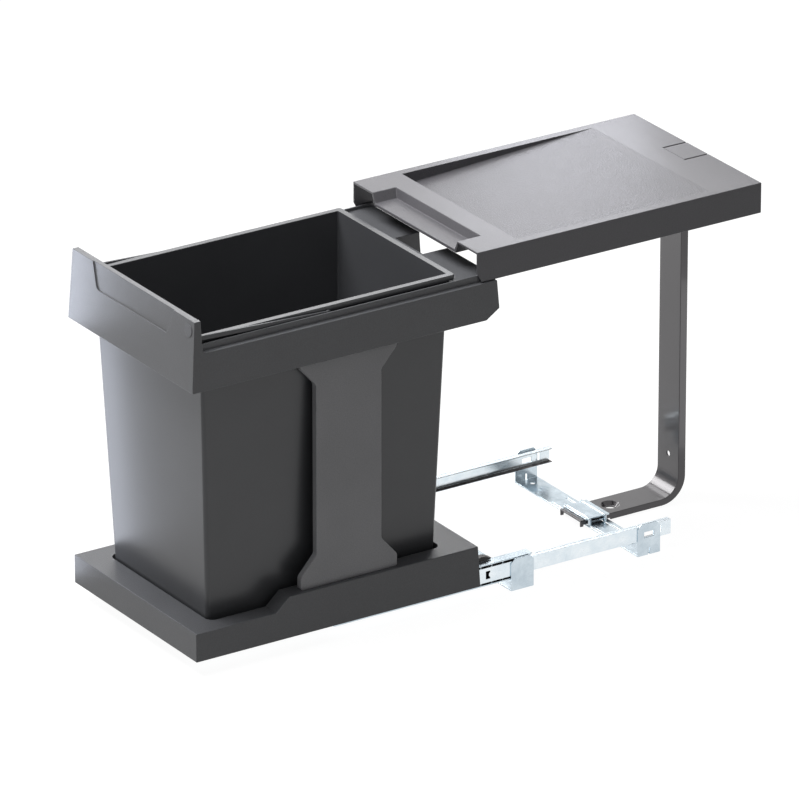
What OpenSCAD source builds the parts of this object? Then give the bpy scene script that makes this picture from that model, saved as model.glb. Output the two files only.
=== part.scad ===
// Floor-mounted pull-out waste unit: a lid on a post, and a drawer with one bin that runs out from under it
// Millimetres. +X to the right, +Y to the back, +Z up. The origin lies on the floor, in the middle of the
// four floor screw holes. The drawer is drawn pulled out to its stop.

/* [Overall] */
// Width of the lid
lid_w = 240; // [236:1:300]
// Length of the lid, front to back
lid_len = 362; // [352:1:400]
// Height of the lid's top face above the floor
lid_top = 399; // [385:1:460]
// Way that the drawer runs from its stop to closed
travel = 332; // [318:1:336]

/* [Floor fixing] */
// Distance between the middles of the two cross members
strip_pitch = 163; // [150:1:170]
// Width of a cross member
strip_w = 29; // [26:1:32]
// Set-back of the front cross member's middle from the lid's front edge
strip_back = 59.5; // [50:0.5:66]
// Thickness of the zinc-plated sheet
sheet_t = 1.5; // [1.2:0.1:1.8]
// Height of the up-turned ends above the floor
ear_h = 37; // [35.5:0.5:38]
// Corner cut on the up-turned ends
ear_cut = 5; // [3:0.5:6]
// Diameter of the floor screw holes
floor_hole_d = 5.2; // [4:0.1:6]
// Distance of the floor screw holes from the cross member's ends
floor_hole_inset = 14; // [12:0.5:17]
// Width of the guide slots for the clamp
guide_w = 2.6; // [2.4:0.1:3.2]
// Length of the guide slots
guide_len = 102; // [90:1:120]
// Distance between the two guide slots
guide_pitch = 20; // [18:0.5:21]

/* [Runners] */
// Length of the fixed and of the middle runner
rail_len = 250; // [244:1:280]
// Height of the small runner section
rail_h = 17; // [15:0.5:18]
// Depth of the small runner section
rail_d = 7; // [6.5:0.1:7.6]
// Sheet thickness of the small runner section
rail_t = 1.2; // [1:0.1:1.4]
// Depth of the large runner section
channel_d = 11.8; // [11.4:0.1:12.2]
// Sheet thickness of the large runner section
channel_t = 1.5; // [1.3:0.1:1.7]
// Free height between the small and the large section, where the balls run
ball_gap = 2.5; // [2.3:0.1:2.8]
// Diameter of the runner balls
ball_d = 2.9; // [2.6:0.1:3]
// Distance between neighbouring balls
ball_pitch = 14; // [12:1:20]
// Height of the small section's underside above the floor
rail_z = 17.2; // [15:0.1:18]
// Length of the drawer runner
drawer_rail_len = 350; // [330:1:352]
// Length of the ball cage between the middle and the drawer runner
inner_cage_len = 120; // [80:1:130]

/* [Lid bracket] */
// Width of the bent bracket
bracket_w = 40; // [32:1:42]
// Depth of the bracket's flanges on the upright
flange_d = 9.3; // [8:0.1:10]
// Thickness of the bracket's sheet
bracket_t = 2; // [1.6:0.1:2.4]
// Distance from the lid's back edge to the upright's front face
post_inset = 33.5; // [31:0.5:36]
// Outer radius of the bend
bend_r = 30; // [24:1:32]
// Height of the foot's top face
foot_h = 7.5; // [7:0.1:8.5]
// Diameter of the hole low in the upright
post_hole_d = 6; // [4:0.5:8]
// Outer diameter of the pressed collar in the foot
collar_d = 24; // [18:1:26]
// Length of the bracket's foot, from the upright's front face
foot_len = 127.5; // [110:0.5:128]
// Diameter of the hole in the collar
collar_hole_d = 12; // [8:0.5:14]
// Width of the clamp
clamp_w = 44; // [43:0.5:48]

/* [Lid] */
// Thickness of the lid's top
lid_t = 2.6; // [2:0.1:3.2]
// Thickness of the lid's side walls
skirt_t = 2.4; // [1.8:0.1:3]
// Depth of the lid's side walls
skirt_h = 34.5; // [33:0.5:36]
// Distance of the sunk surface from the lid's sides
recess_side = 10.5; // [9:0.5:24]
// Depth of the sunk surface at its front edge
recess_depth = 13; // [8:0.5:13.5]
// Distance of the sunk surface from the lid's front edge
recess_front = 56; // [50:1:60]
// Distance of the sunk surface from the lid's back edge
recess_rear = 61; // [50:1:90]
// Distance of the finger trough from the lid's sides
trough_side = 38; // [30:1:54]
// Front-to-back size of the finger trough
trough_len = 29.5; // [24:0.5:34]
// Depth of the finger trough
trough_depth = 10.5; // [8:0.5:11]
// Slope of the trough's ends, top to bottom
trough_slope = 6; // [4:0.5:9]
// Width of the snap tongue at the back
tongue_w = 39; // [30:1:42]
// Length of the snap tongue
tongue_len = 31; // [28:0.5:33]
// Width of the slots beside the snap tongue
tongue_slot = 1.8; // [1.2:0.1:2.4]

/* [Drawer frame] */
// Height of the front panel
panel_h = 78; // [72:1:84]
// Thickness of the front panel
panel_t = 7.5; // [6:0.5:8]
// Lean of the front panel, top to bottom
panel_lean = 4.8; // [3:0.2:6]
// Draft of the frame's sides, top to bottom, on each side
side_draft = 2.8; // [1.6:0.2:3]
// Wall thickness of the frame
frame_t = 2.4; // [2:0.1:2.6]
// Height of the frame's inner wall above its ledge
inner_wall_h = 8; // [6:0.5:8.5]
// Thickness of the frame's inner wall
inner_wall_t = 1.8; // [1.4:0.1:2]
// Depth of the sunk grip in the front panel
grip_depth = 1.3; // [0.8:0.1:1.8]
// Distance of the sunk grip from the panel's sides
grip_side = 40.7; // [32.7:1:60.7]
// Height of the sunk grip
grip_h = 29; // [22:1:34]
// Slope of the grip's ends
grip_slope = 9; // [6:0.5:12]
// Distance from the bin's rim to the frame's back edge
deck_len = 48; // [44:1:50]
// Gap between the bracket and the frame's notch, on each side
notch_side = 6.5; // [5:0.5:9]
// Diameter of the plain round badge place
badge_d = 14; // [10:0.5:15]

/* [Pillars] */
// Distance from the frame's back edge to a pillar's middle
pillar_back = 183.5; // [176:0.5:192]
// Width of a pillar's ends
pillar_w = 120; // [104:1:140]
// Width of a pillar's neck
pillar_neck_w = 81; // [70:1:96]
// Thickness of a pillar
pillar_t = 8; // [7:0.5:9]
// Height of the pillar's straight end
pillar_end_h = 14; // [10:1:18]
// Height of the slope between end and neck
pillar_flare_h = 22; // [16:1:28]

/* [Base] */
// Height of the base's underside above the floor
base_z = 17; // [14.5:0.1:17.2]
// Height of the base's front part
base_front_h = 32.3; // [30:0.1:36]
// Height of the base's sides and back
base_side_h = 47.3; // [44:0.1:52]
// Wall thickness of the base
base_t = 2.4; // [2:0.1:2.6]
// Width of the ledge beside the bin's pocket
pocket_ledge_w = 21.95; // [21.25:0.1:23.25]
// Distance from the base's front to the step in its sides
step_back = 98.5; // [80:0.5:120]
// Length of the sloped step
step_len = 16.5; // [10:0.5:24]

/* [Bin] */
// Draft of the bin's sides, rim to floor, on each side
bin_side_draft = 13.1; // [10.3:0.2:18]
// Wall thickness of the bin
bin_t = 2; // [1.6:0.1:2.4]
// Gap between the front panel and the bin's rim
bin_front_gap = 4; // [3:0.1:5]
// Width of the bin's rim
rim_w = 7; // [6:0.5:8]
// Height of the bin's rim
rim_h = 6; // [4:0.5:7]
// Radius of the bin's upright corners
bin_corner_r = 5; // [4:0.25:9]
// Radius of the bail's pivot pins
bail_pin_r = 2; // [1.6:0.1:2.1]
// Thickness of the bail's arms
bail_t = 2.4; // [1.8:0.1:2.6]
// Height of the bail's arms
bail_h = 5; // [4:0.5:6]

/* [Hidden] */
$fn = 48;

// Overrun of every cut
cut = 1;
// Gap between runner sections that slide past each other
slide_gap = 0.4;
// Radial gap round a screw, pin or rivet in its hole
hole_gap = 0.1;
// Radial play of the bail's eyes on their pins
pin_play = 0.08;

// Main places along Y, from the middle of the floor screws
front_strip_y = -strip_pitch / 2;
rear_strip_y = strip_pitch / 2;
lid_y = front_strip_y - strip_back;
lid_back_y = lid_y + lid_len;
post_y = lid_back_y - post_inset;
post_back_y = post_y + flange_d;
close_gap = 1.6;
frame_back_y = lid_back_y - skirt_t - close_gap - travel;
base_short = 22;
base_back_y = frame_back_y - base_short;

// Lid
lid_x = lid_w / 2;
lid_in_x = lid_x - skirt_t;
lid_z = lid_top - skirt_h;
lid_under_z = lid_top - lid_t;
recess_y = lid_y + recess_front;
recess_back_y = lid_back_y - recess_rear;
recess_x = lid_x - recess_side;
trough_x = lid_x - trough_side;
trough_lip_t = 3.7;
trough_floor_z = lid_top - trough_depth;
trough_back_draft = 2.5;
nose_len = 5.6;
nose_h = 11;
back_gap_side = 4.5;
back_gap_x = tongue_w / 2 + back_gap_side;
crease_w = 0.5;
crease_h = 0.4;

// Cross members
ear_gap = 1;
fix_x = lid_x - ear_gap;
ear_in_x = fix_x - sheet_t;
floor_hole_x = fix_x - floor_hole_inset;
window_len = 12.7;
window_h = 6.3;
window_z = 21;
slit_w = 2.2;
slit_h = 8;
guide_shift = 2;
mark_r = 1.5;
mark_inset = 31;

// Runner sections, counted inwards from the ears
rail_mid_z = rail_z + rail_h / 2;
rail_top_z = rail_z + rail_h;
channel_z = rail_z - ball_gap - channel_t;
channel_top_z = rail_top_z + ball_gap + channel_t;
channel_x = ear_in_x - slide_gap;
middle_x = channel_x - channel_d;
drawer_rail_x = middle_x - slide_gap;
drawer_web_x = drawer_rail_x - channel_d;
rail_front_set = 1.6;
fixed_y = lid_y + rail_front_set;
fixed_back_y = fixed_y + rail_len;
middle_lead = 13;
middle_overlap = rail_len - travel / 2 - middle_lead;
middle_back_y = fixed_y + middle_overlap;
middle_y = middle_back_y - rail_len;
drawer_rail_over = 6;
drawer_rail_back_y = base_back_y + drawer_rail_over;
drawer_rail_y = drawer_rail_back_y - drawer_rail_len;
track_share = 0.53;
outer_track_x = ear_in_x - rail_d * track_share;
inner_track_x = middle_x - rail_d * track_share;
ball_play = 0.3;
track_r = ball_d / 2 + ball_play;
upper_ball_z = rail_top_z + ball_gap / 2;
lower_ball_z = rail_z - ball_gap / 2;
cage_t = 0.8;
cage_inset = 2.6;
cage_edge = 1.2;
cage_margin = 3;
cage_hole_play = 0.15;
outer_cage_y = fixed_y + cage_margin;
outer_cage_len = middle_overlap - 2 * cage_margin;
inner_cage_y = middle_y + 2 * cage_margin;
key_w = 5.6;
key_h = 9;
key_inset = 12.2;
key_bite_r = 3.2;
key_bite_out = 1.4;

// Rivets between the middle channel and the middle runner
rivet_r = 1.8;
rivet_head_r = 3;
rivet_head_h = 0.5;
rivet_inset = 20;
rivet_count = 3;

// Screws
screw_r = 1.8;
screw_head_r = 3.4;
screw_head_h = 2;
screw_len = 14;
drive_share = 0.5;
flat_head_h = 0.7;
runner_screw_len = 5.5;
runner_screw_inset = 45;
runner_screw_count = 3;

// Bracket, clamp and lid carrier
foot_y = post_y - foot_len;
bend_in_r = bend_r - foot_h;
strip_gap = 0.5;
strip_side_gap = 3;
collar_back = 75.5;
collar_y = post_y - collar_back;
collar_t = 1.6;
collar_slope = 3.5;
collar_drop = 4.4;
post_hole_z = 49.8;
clamp_t = 1.5;
clamp_side_gap = 1.5;
clamp_x = clamp_w / 2;
clamp_y0 = rear_strip_y - strip_w / 2 - clamp_side_gap;
clamp_y1 = rear_strip_y + strip_w / 2;
clamp_z = foot_h + clamp_t;
clamp_rib_r = 0.8;
clamp_rib_rise = 0.7;
clamp_lug_r = 2;
clamp_lug_out = 0.8;
clamp_lug_gap = 0.4;
clamp_rib_end = 0.4;
clamp_pin_r = 1;
clamp_pin_head_r = 1.7;
clamp_pin_head_h = 0.9;
clamp_pin_end = 0.3;
clamp_tie_t = 0.9;
clamp_tie_h = 1.6;
clamp_tie_z = 3.6;
carrier_side = 10;
carrier_h = 22.4;
carrier_front = 6.5;
carrier_back = 7.2;
carrier_gap = 0.1;
carrier_x = bracket_w / 2 + carrier_side;
carrier_y = post_y - carrier_front;
carrier_back_y = post_back_y + carrier_back;
carrier_z = lid_under_z - carrier_h;
post_cap = 4.4;
post_top_z = lid_under_z - post_cap;
carrier_screw_span = 20;
carrier_screw_drop = 9;
carrier_screw_z = post_top_z - carrier_screw_drop;
carrier_screw_len = 12;
rib_gap = 0.3;
lid_rib_t = 2;
lid_rib_h = 15;
lid_rib_over = 3;

// Drawer frame
lid_gap = 0.8;
wall_gap = 1.1;
panel_gap = 8.9;
panel_rise = 0.6;
panel_side_over = 0.7;
frame_top_x = lid_x + panel_side_over;
frame_low_x = frame_top_x + side_draft;
panel_top = lid_top + panel_rise;
frame_z = panel_top - panel_h;
panel_back_y = lid_y - travel - panel_gap;
panel_y = panel_back_y - panel_t;
panel_low_y = panel_y - panel_lean;
panel_back_lean = 1.3;
fillet_len = 3.6;
fillet_h = 7;
fillet_share = 0.28;
frame_back_lean = 2.3;
frame_deck_y = frame_back_y - frame_back_lean;
frame_chamfer_len = 16.5;
frame_chamfer_h = 10.5;
ledge_z = lid_z - lid_gap;
lip_rise = 4;
lip_z = ledge_z + lip_rise;
wall_x = lid_in_x - wall_gap;
wall_in_x = wall_x - inner_wall_t;
wall_z = ledge_z + inner_wall_h;
lip_under = 3.8;
lip_corner_r = 3;
notch_gap = 3.5;
notch_x = bracket_w / 2 + notch_side;
notch_y = post_y - travel - notch_gap;
eye_notch_w = 18;
eye_notch_in = 2.7;
grip_x = frame_top_x - grip_side;
grip_corner = 4;
badge_side = 10.7;
badge_drop = 12;
badge_t = 1.2;

// Bin
bail_gap = 0.5;
rim_x = wall_in_x - bail_t - 2 * bail_gap;
rim_y = panel_back_y + bin_front_gap;
rim_back_y = frame_back_y - deck_len;
rim_t = 2;
rim_edge_t = 2;
rim_corner_r = 3.5;
rim_rise = 13.3;
bin_top_z = ledge_z + rim_rise;
bin_front_draft = 13;
bin_back_draft = 9.3;
bin_top_x = rim_x - rim_w + bin_t;
bin_floor_x = bin_top_x - bin_side_draft;
bin_top_y = rim_y + rim_w - bin_t;
bin_top_back_y = rim_back_y - rim_w + bin_t;
bin_y = bin_top_y + bin_front_draft;
bin_back_y = bin_top_back_y - bin_back_draft;
corner_shrink = 1.5;
bin_top_r = bin_corner_r - corner_shrink;
disc_t = 0.1;
pivot_ahead = 1.5;
pivot_y = (rim_y + rim_back_y) / 2 - pivot_ahead;
pivot_drop = 7;
pivot_z = bin_top_z - pivot_drop;
boss_w = 10;
boss_low = 2.4;
pin_end = 0.3;

// Bail
bail_in_x = rim_x + bail_gap;
bail_out_x = bail_in_x + bail_t;
bail_eye_r = 3.2;
bail_bar_w = 6;
bail_bar_over = 2;
bail_rest_gap = 0.3;
bail_bar_y = rim_y - bail_bar_over;
bail_bar_z = bin_top_z + bail_rest_gap;
bail_top_z = bail_bar_z + bail_t;

// Base tray
base_over = 2.25;
base_x = lid_x + base_over;
base_in_x = base_x - base_t;
base_set = 2.7;
base_y = panel_low_y + base_set;
base_back_lean = 3.4;
base_front_z = base_z + base_front_h;
base_side_z = base_z + base_side_h;
base_step_y = base_y + step_back;
step_shift = 1;
floor_rail_gap = 1.4;
floor_under_z = channel_top_z + floor_rail_gap;
floor_z = floor_under_z + base_t;
bin_seat_gap = 0.3;
bin_z = floor_z + bin_seat_gap;
pocket_x = base_x - pocket_ledge_w;
pocket_front_gap = 1.8;
pocket_back_gap = 4.2;
pocket_y = bin_y - pocket_front_gap;
pocket_back_y = bin_back_y + pocket_back_gap;
pocket_r = 9;
rail_rib_t = 2.3;
rail_rib_x = drawer_web_x - rail_rib_t;
cross_rib_h = 9;
cross_rib_count = 3;
base_notch_side = 4;
base_notch_x = bracket_w / 2 + base_notch_side;
base_notch_gap = 10.5;
base_notch_y = post_y - travel - base_notch_gap;
rear_open_gap = 1.8;

// Release levers on the back ends of the drawer runners
lever_w = 7;
lever_side = 3.5;
lever_gap = 0.5;
lever_h = 4.6;
lever_len = 22;
lever_foot_len = 5;
lever_foot_w = 6;
lever_y = drawer_rail_back_y - lever_foot_len;
lever_z = channel_top_z + lever_gap;
lever_shares = [[0, 0], [0, 0.72], [0.28, 1], [0.66, 1], [1, 0.26], [0.88, 0]];

// Pillars
pillar_set = 0.2;
pillar_x = wall_x - pillar_set;
pillar_in_x = pillar_x - pillar_t;
pillar_mid_x = pillar_x - pillar_t / 2;
pillar_y = frame_back_y - pillar_back;
pillar_into = 8.1;
pillar_z = base_side_z;
pillar_top_z = frame_z + pillar_into;
pillar_screw_edge = 18;
pillar_screw_y = pillar_w / 2 - pillar_screw_edge;
socket_side = 1.8;
socket_end = 4;

// Block between two corners
module box(x0, x1, y0, y1, z0, z1) {
    translate([x0, y0, z0])
        cube([x1 - x0, y1 - y0, z1 - z0]);
}

// Block with round upright corners
module pad(x, y0, y1, z0, z1, r) {
    box(-x + r, x - r, y0, y1, z0, z1);
    box(-x, x, y0 + r, y1 - r, z0, z1);
    for (sx = [-1, 1], y = [y0 + r, y1 - r])
        translate([sx * (x - r), y, z0])
            cylinder(r = r, h = z1 - z0);
}

// Round bars along the three axes
module rod_x(x0, x1, y, z, r) {
    translate([x0, y, z])
        rotate([0, 90, 0])
            cylinder(r = r, h = x1 - x0);
}

module rod_y(x, y0, y1, z, r) {
    translate([x, y0, z])
        rotate([-90, 0, 0])
            cylinder(r = r, h = y1 - y0);
}

module rod_z(x, y, z0, z1, r) {
    translate([x, y, z0])
        cylinder(r = r, h = z1 - z0);
}

// Side outline (Y, Z) drawn out along X, and front outline (X, Z) drawn out along Y
module side_slab(x0, x1) {
    translate([x0, 0, 0])
        rotate([90, 0, 90])
            linear_extrude(height = x1 - x0)
                children();
}

module front_slab(y0, y1) {
    translate([0, y1, 0])
        rotate([90, 0, 0])
            linear_extrude(height = y1 - y0)
                children();
}

// Left-hand copy of a right-hand piece
module left() {
    mirror([1, 0, 0])
        children();
}

// Screw along -Z with its head above zero and a hexagon socket
module screw(len, head_h) {
    difference() {
        union() {
            rod_z(0, 0, -len, head_h / 2, screw_r);
            rod_z(0, 0, 0, head_h, screw_head_r);
        }
        translate([0, 0, head_h / 2])
            cylinder(r = screw_head_r * drive_share, h = head_h, $fn = 6);
    }
}

// Cross members

module strip(y) {
    difference() {
        box(-fix_x, fix_x, y - strip_w / 2, y + strip_w / 2, 0, sheet_t);
        for (sx = [-1, 1]) {
            rod_z(sx * floor_hole_x, y, -cut, sheet_t + cut, floor_hole_d / 2);
            rod_z(sx * (fix_x - mark_inset), y, sheet_t / 2, sheet_t + cut, mark_r);
        }
    }
}

module ear(y) {
    side_slab(ear_in_x, fix_x)
        polygon([[y - strip_w / 2, 0], [y + strip_w / 2, 0], [y + strip_w / 2, ear_h - ear_cut],
                 [y + strip_w / 2 - ear_cut, ear_h], [y - strip_w / 2 + ear_cut, ear_h],
                 [y - strip_w / 2, ear_h - ear_cut]]);
}

module cross_member(y) {
    strip(y);
    ear(y);
    left() ear(y);
}

module rear_window(x0, x1) {
    box(x0 - cut, x1 + cut, rear_strip_y - window_len / 2, rear_strip_y + window_len / 2,
        window_z, window_z + window_h);
}

module front_cross_member() {
    color("#c5d6df") cross_member(front_strip_y);
}

module rear_cross_member() {
    color("#c5d6df") difference() {
        cross_member(rear_strip_y);
        rear_window(-fix_x, fix_x);
        for (x = [-fix_x, ear_in_x])
            box(x - cut, x + sheet_t + cut, rear_strip_y - slit_w / 2, rear_strip_y + slit_w / 2,
                -cut, slit_h);
        for (sy = [-1, 1])
            box(-guide_len / 2, guide_len / 2,
                rear_strip_y - guide_shift + (sy * guide_pitch - guide_w) / 2,
                rear_strip_y - guide_shift + (sy * guide_pitch + guide_w) / 2, -cut, sheet_t + cut);
    }
}

// Runners

module small_section(x, y0, y1) {
    difference() {
        box(x - rail_d, x, y0, y1, rail_z, rail_top_z);
        box(x - rail_d - cut, x - rail_t, y0 - cut, y1 + cut, rail_z + rail_t, rail_top_z - rail_t);
    }
}

module large_section(x, y0, y1) {
    difference() {
        box(x, x + channel_d, y0, y1, channel_z, channel_top_z);
        box(x + channel_t, x + channel_d + cut, y0 - cut, y1 + cut, channel_z + channel_t,
            channel_top_z - channel_t);
    }
}

module tracks(x, y0, y1) {
    for (z = [lower_ball_z, upper_ball_z])
        rod_y(x, y0 - cut, y1 + cut, z, track_r);
}

module key_hole(y0, bite_y) {
    difference() {
        box(ear_in_x - rail_t - cut, ear_in_x + cut, y0, y0 + key_w, rail_mid_z - key_h / 2,
            rail_mid_z + key_h / 2);
        rod_x(ear_in_x - rail_t - 2 * cut, ear_in_x + 2 * cut, bite_y, rail_mid_z, key_bite_r);
    }
}

module fixed_runner() {
    difference() {
        small_section(ear_in_x, fixed_y, fixed_back_y);
        tracks(outer_track_x, fixed_y, fixed_back_y);
        rear_window(ear_in_x - rail_t, ear_in_x);
        key_hole(fixed_y + key_inset, fixed_y + key_inset + key_w + key_bite_out);
        key_hole(fixed_back_y - key_inset - key_w, fixed_back_y - key_inset - key_w - key_bite_out);
    }
}

module fixed_runner_right() {
    color("#c5d6df") fixed_runner();
}

module fixed_runner_left() {
    color("#c5d6df") left() fixed_runner();
}

module middle_rivet_places() {
    rivet_step = (rail_len - 2 * rivet_inset) / (rivet_count - 1);
    for (i = [0:rivet_count - 1])
        translate([0, middle_y + rivet_inset + i * rivet_step, rail_mid_z])
            children();
}

module middle_channel() {
    difference() {
        large_section(middle_x, middle_y, middle_back_y);
        tracks(outer_track_x, middle_y, middle_back_y);
        middle_rivet_places()
            rod_x(middle_x - cut, middle_x + channel_t + cut, 0, 0, rivet_r + hole_gap);
    }
}

module middle_channel_right() {
    color("#bccdd6") middle_channel();
}

module middle_channel_left() {
    color("#bccdd6") left() middle_channel();
}

module middle_runner() {
    difference() {
        small_section(middle_x, middle_y, middle_back_y);
        tracks(inner_track_x, middle_y, middle_back_y);
        middle_rivet_places()
            rod_x(middle_x - rail_t - cut, middle_x + cut, 0, 0, rivet_r + hole_gap);
    }
}

module middle_runner_right() {
    color("#c5d6df") middle_runner();
}

module middle_runner_left() {
    color("#c5d6df") left() middle_runner();
}

module middle_rivets() {
    middle_rivet_places() {
        rod_x(middle_x - rail_t - rivet_head_h, middle_x + channel_t + rivet_head_h, 0, 0, rivet_r);
        rod_x(middle_x - rail_t - rivet_head_h, middle_x - rail_t, 0, 0, rivet_head_r);
        rod_x(middle_x + channel_t, middle_x + channel_t + rivet_head_h, 0, 0, rivet_head_r);
    }
}

module middle_rivets_right() {
    color("#9aa7ae") middle_rivets();
}

module middle_rivets_left() {
    color("#9aa7ae") left() middle_rivets();
}

module ball_rows(x, y, len) {
    count = floor((len - 2 * cage_margin) / ball_pitch) + 1;
    start = y + (len - (count - 1) * ball_pitch) / 2;
    for (i = [0:count - 1])
        translate([x, start + i * ball_pitch, 0])
            children();
}

module balls(x, y, len) {
    ball_rows(x, y, len)
        for (z = [lower_ball_z, upper_ball_z])
            translate([0, 0, z])
                sphere(d = ball_d);
}

module cage(web_x, track_x, y, len) {
    difference() {
        box(web_x, track_x + cage_edge, y, y + len, lower_ball_z - cage_t / 2, upper_ball_z + cage_t / 2);
        box(web_x + cage_t, track_x + cage_edge + cut, y - cut, y + len + cut, lower_ball_z + cage_t / 2,
            upper_ball_z - cage_t / 2);
        ball_rows(track_x, y, len)
            rod_z(0, 0, channel_z, channel_top_z, ball_d / 2 + cage_hole_play);
    }
}

module outer_cage() {
    cage(middle_x + cage_inset, outer_track_x, outer_cage_y, outer_cage_len);
}

module inner_cage() {
    cage(drawer_web_x + cage_inset, inner_track_x, inner_cage_y, inner_cage_len);
}

module outer_cage_right() {
    color("#303236") outer_cage();
}

module outer_cage_left() {
    color("#303236") left() outer_cage();
}

module inner_cage_right() {
    color("#303236") inner_cage();
}

module inner_cage_left() {
    color("#303236") left() inner_cage();
}

module outer_balls_right() {
    color("#d7dadc") balls(outer_track_x, outer_cage_y, outer_cage_len);
}

module outer_balls_left() {
    color("#d7dadc") left() balls(outer_track_x, outer_cage_y, outer_cage_len);
}

module inner_balls_right() {
    color("#d7dadc") balls(inner_track_x, inner_cage_y, inner_cage_len);
}

module inner_balls_left() {
    color("#d7dadc") left() balls(inner_track_x, inner_cage_y, inner_cage_len);
}

module runner_screw_places() {
    for (i = [0:runner_screw_count - 1])
        translate([0, drawer_rail_y + runner_screw_inset
                   + i * (drawer_rail_len - 2 * runner_screw_inset) / (runner_screw_count - 1), rail_mid_z])
            children();
}

module drawer_runner() {
    difference() {
        large_section(drawer_web_x, drawer_rail_y, drawer_rail_back_y);
        tracks(inner_track_x, drawer_rail_y, drawer_rail_back_y);
        runner_screw_places()
            rod_x(drawer_web_x - cut, drawer_web_x + channel_t + cut, 0, 0, screw_r + hole_gap);
    }
}

module drawer_runner_right() {
    color("#c5d6df") drawer_runner();
}

module drawer_runner_left() {
    color("#c5d6df") left() drawer_runner();
}

module runner_screw_row() {
    runner_screw_places()
        translate([drawer_web_x + channel_t, 0, 0])
            rotate([0, 90, 0])
                screw(runner_screw_len, flat_head_h);
}

module runner_screws() {
    color("#9aa7ae") {
        runner_screw_row();
        left() runner_screw_row();
    }
}

module release_lever() {
    side_slab(drawer_rail_x - lever_side, drawer_rail_x - lever_side + lever_w)
        polygon([for (p = lever_shares) [lever_y + lever_len * p[0], lever_z + lever_h * p[1]]]);
    box(drawer_rail_x - lever_foot_w, drawer_rail_x, lever_y, drawer_rail_back_y, channel_top_z,
        lever_z + lever_h / 2);
}

module release_lever_right() {
    color("#2b2c2e") release_lever();
}

module release_lever_left() {
    color("#2b2c2e") left() release_lever();
}

// Lid bracket, its clamp and the lid's carrier

// L-shaped block of the bracket, its inner side moved by inset and its outer side by over
module bracket_block(x, inset, over) {
    inner_y = post_y + inset;
    inner_z = foot_h - inset;
    outer_y = post_back_y + over;
    in_r = bend_in_r + inset;
    out_r = bend_r + over;
    difference() {
        union() {
            box(-x, x, foot_y - over, outer_y - out_r, -over, foot_h + in_r);
            box(-x, x, inner_y - in_r, outer_y, out_r - over, post_top_z + over);
            rod_x(-x, x, outer_y - out_r, out_r - over, out_r);
        }
        box(-x - cut, x + cut, foot_y - over - cut, inner_y - in_r, inner_z, post_top_z);
        box(-x - cut, x + cut, foot_y - over - cut, inner_y, inner_z + in_r, post_top_z + over + cut);
        rod_x(-x - cut, x + cut, inner_y - in_r, inner_z + in_r, in_r);
    }
}

module collar(r_top, r_low, z_top, z_low) {
    translate([0, collar_y, z_low])
        cylinder(r1 = r_low, r2 = r_top, h = z_top - z_low);
}

module carrier_screw_places() {
    for (sx = [-1, 1])
        translate([sx * carrier_screw_span / 2, 0, carrier_screw_z])
            children();
}

module lid_bracket() {
    bracket_x = bracket_w / 2;
    color("#5c5b5f") difference() {
        union() {
            difference() {
                bracket_block(bracket_x, 0, 0);
                bracket_block(bracket_x - bracket_t, bracket_t, cut);
            }
            collar(collar_d / 2, collar_d / 2 - collar_slope, foot_h - bracket_t,
                   foot_h - collar_t - collar_drop);
        }
        collar(collar_d / 2 - collar_t + cut, collar_d / 2 - collar_t - collar_slope, foot_h + cut,
               foot_h - collar_drop);
        rod_z(0, collar_y, -cut, foot_h + cut, collar_hole_d / 2);
        rod_y(0, post_y - cut, post_y + bracket_t + cut, post_hole_z, post_hole_d / 2);
        carrier_screw_places()
            rod_y(0, post_y - cut, post_y + bracket_t + cut, 0, screw_r + hole_gap);
        box(-bracket_x - cut, bracket_x + cut, rear_strip_y - strip_w / 2 - strip_side_gap,
            rear_strip_y + strip_w / 2 + strip_side_gap, -cut, sheet_t + strip_gap);
    }
}

module clamp_corners() {
    for (sx = [-1, 1], sy = [-1, 1])
        translate([sx * (clamp_x + clamp_lug_out), rear_strip_y - guide_shift + sy * guide_pitch / 2, 0])
            children();
}

module bracket_clamp() {
    rib_x = clamp_x + clamp_lug_out - clamp_pin_head_r - clamp_rib_end;
    color("#c5d6df") difference() {
        union() {
            box(-clamp_x, clamp_x, clamp_y0, clamp_y1, foot_h, clamp_z);
            for (sy = [-1, 1])
                rod_x(-rib_x, rib_x, rear_strip_y - guide_shift + sy * guide_pitch / 2,
                      clamp_z - clamp_rib_r + clamp_rib_rise, clamp_rib_r);
            clamp_corners()
                rod_z(0, 0, sheet_t + clamp_lug_gap, clamp_z, clamp_lug_r);
            for (x = [-clamp_x, clamp_x - clamp_tie_t])
                box(x, x + clamp_tie_t, rear_strip_y - guide_shift - guide_pitch / 2,
                    rear_strip_y - guide_shift + guide_pitch / 2, clamp_tie_z, clamp_tie_z + clamp_tie_h);
        }
        clamp_corners()
            rod_z(0, 0, 0, clamp_z + cut, clamp_pin_r + hole_gap);
    }
}

module clamp_pins() {
    color("#b4c2ca") clamp_corners() {
        rod_z(0, 0, clamp_pin_end, clamp_z + clamp_pin_head_h, clamp_pin_r);
        rod_z(0, 0, clamp_z, clamp_z + clamp_pin_head_h, clamp_pin_head_r);
    }
}

module lid_carrier() {
    slot_x = bracket_w / 2 + carrier_gap;
    web_y = post_y + bracket_t + carrier_gap;
    color("#3f4043") difference() {
        box(-carrier_x, carrier_x, carrier_y, carrier_back_y, carrier_z, lid_under_z);
        box(-slot_x, slot_x, post_y - carrier_gap, web_y, carrier_z - cut, post_top_z + carrier_gap);
        for (x = [-slot_x, slot_x - bracket_t - 2 * carrier_gap])
            box(x, x + bracket_t + 2 * carrier_gap, post_y - carrier_gap, post_back_y + carrier_gap,
                carrier_z - cut, post_top_z + carrier_gap);
        carrier_screw_places()
            rod_y(0, carrier_y - cut, carrier_y + carrier_screw_len + cut, 0, screw_r + hole_gap);
    }
}

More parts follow.
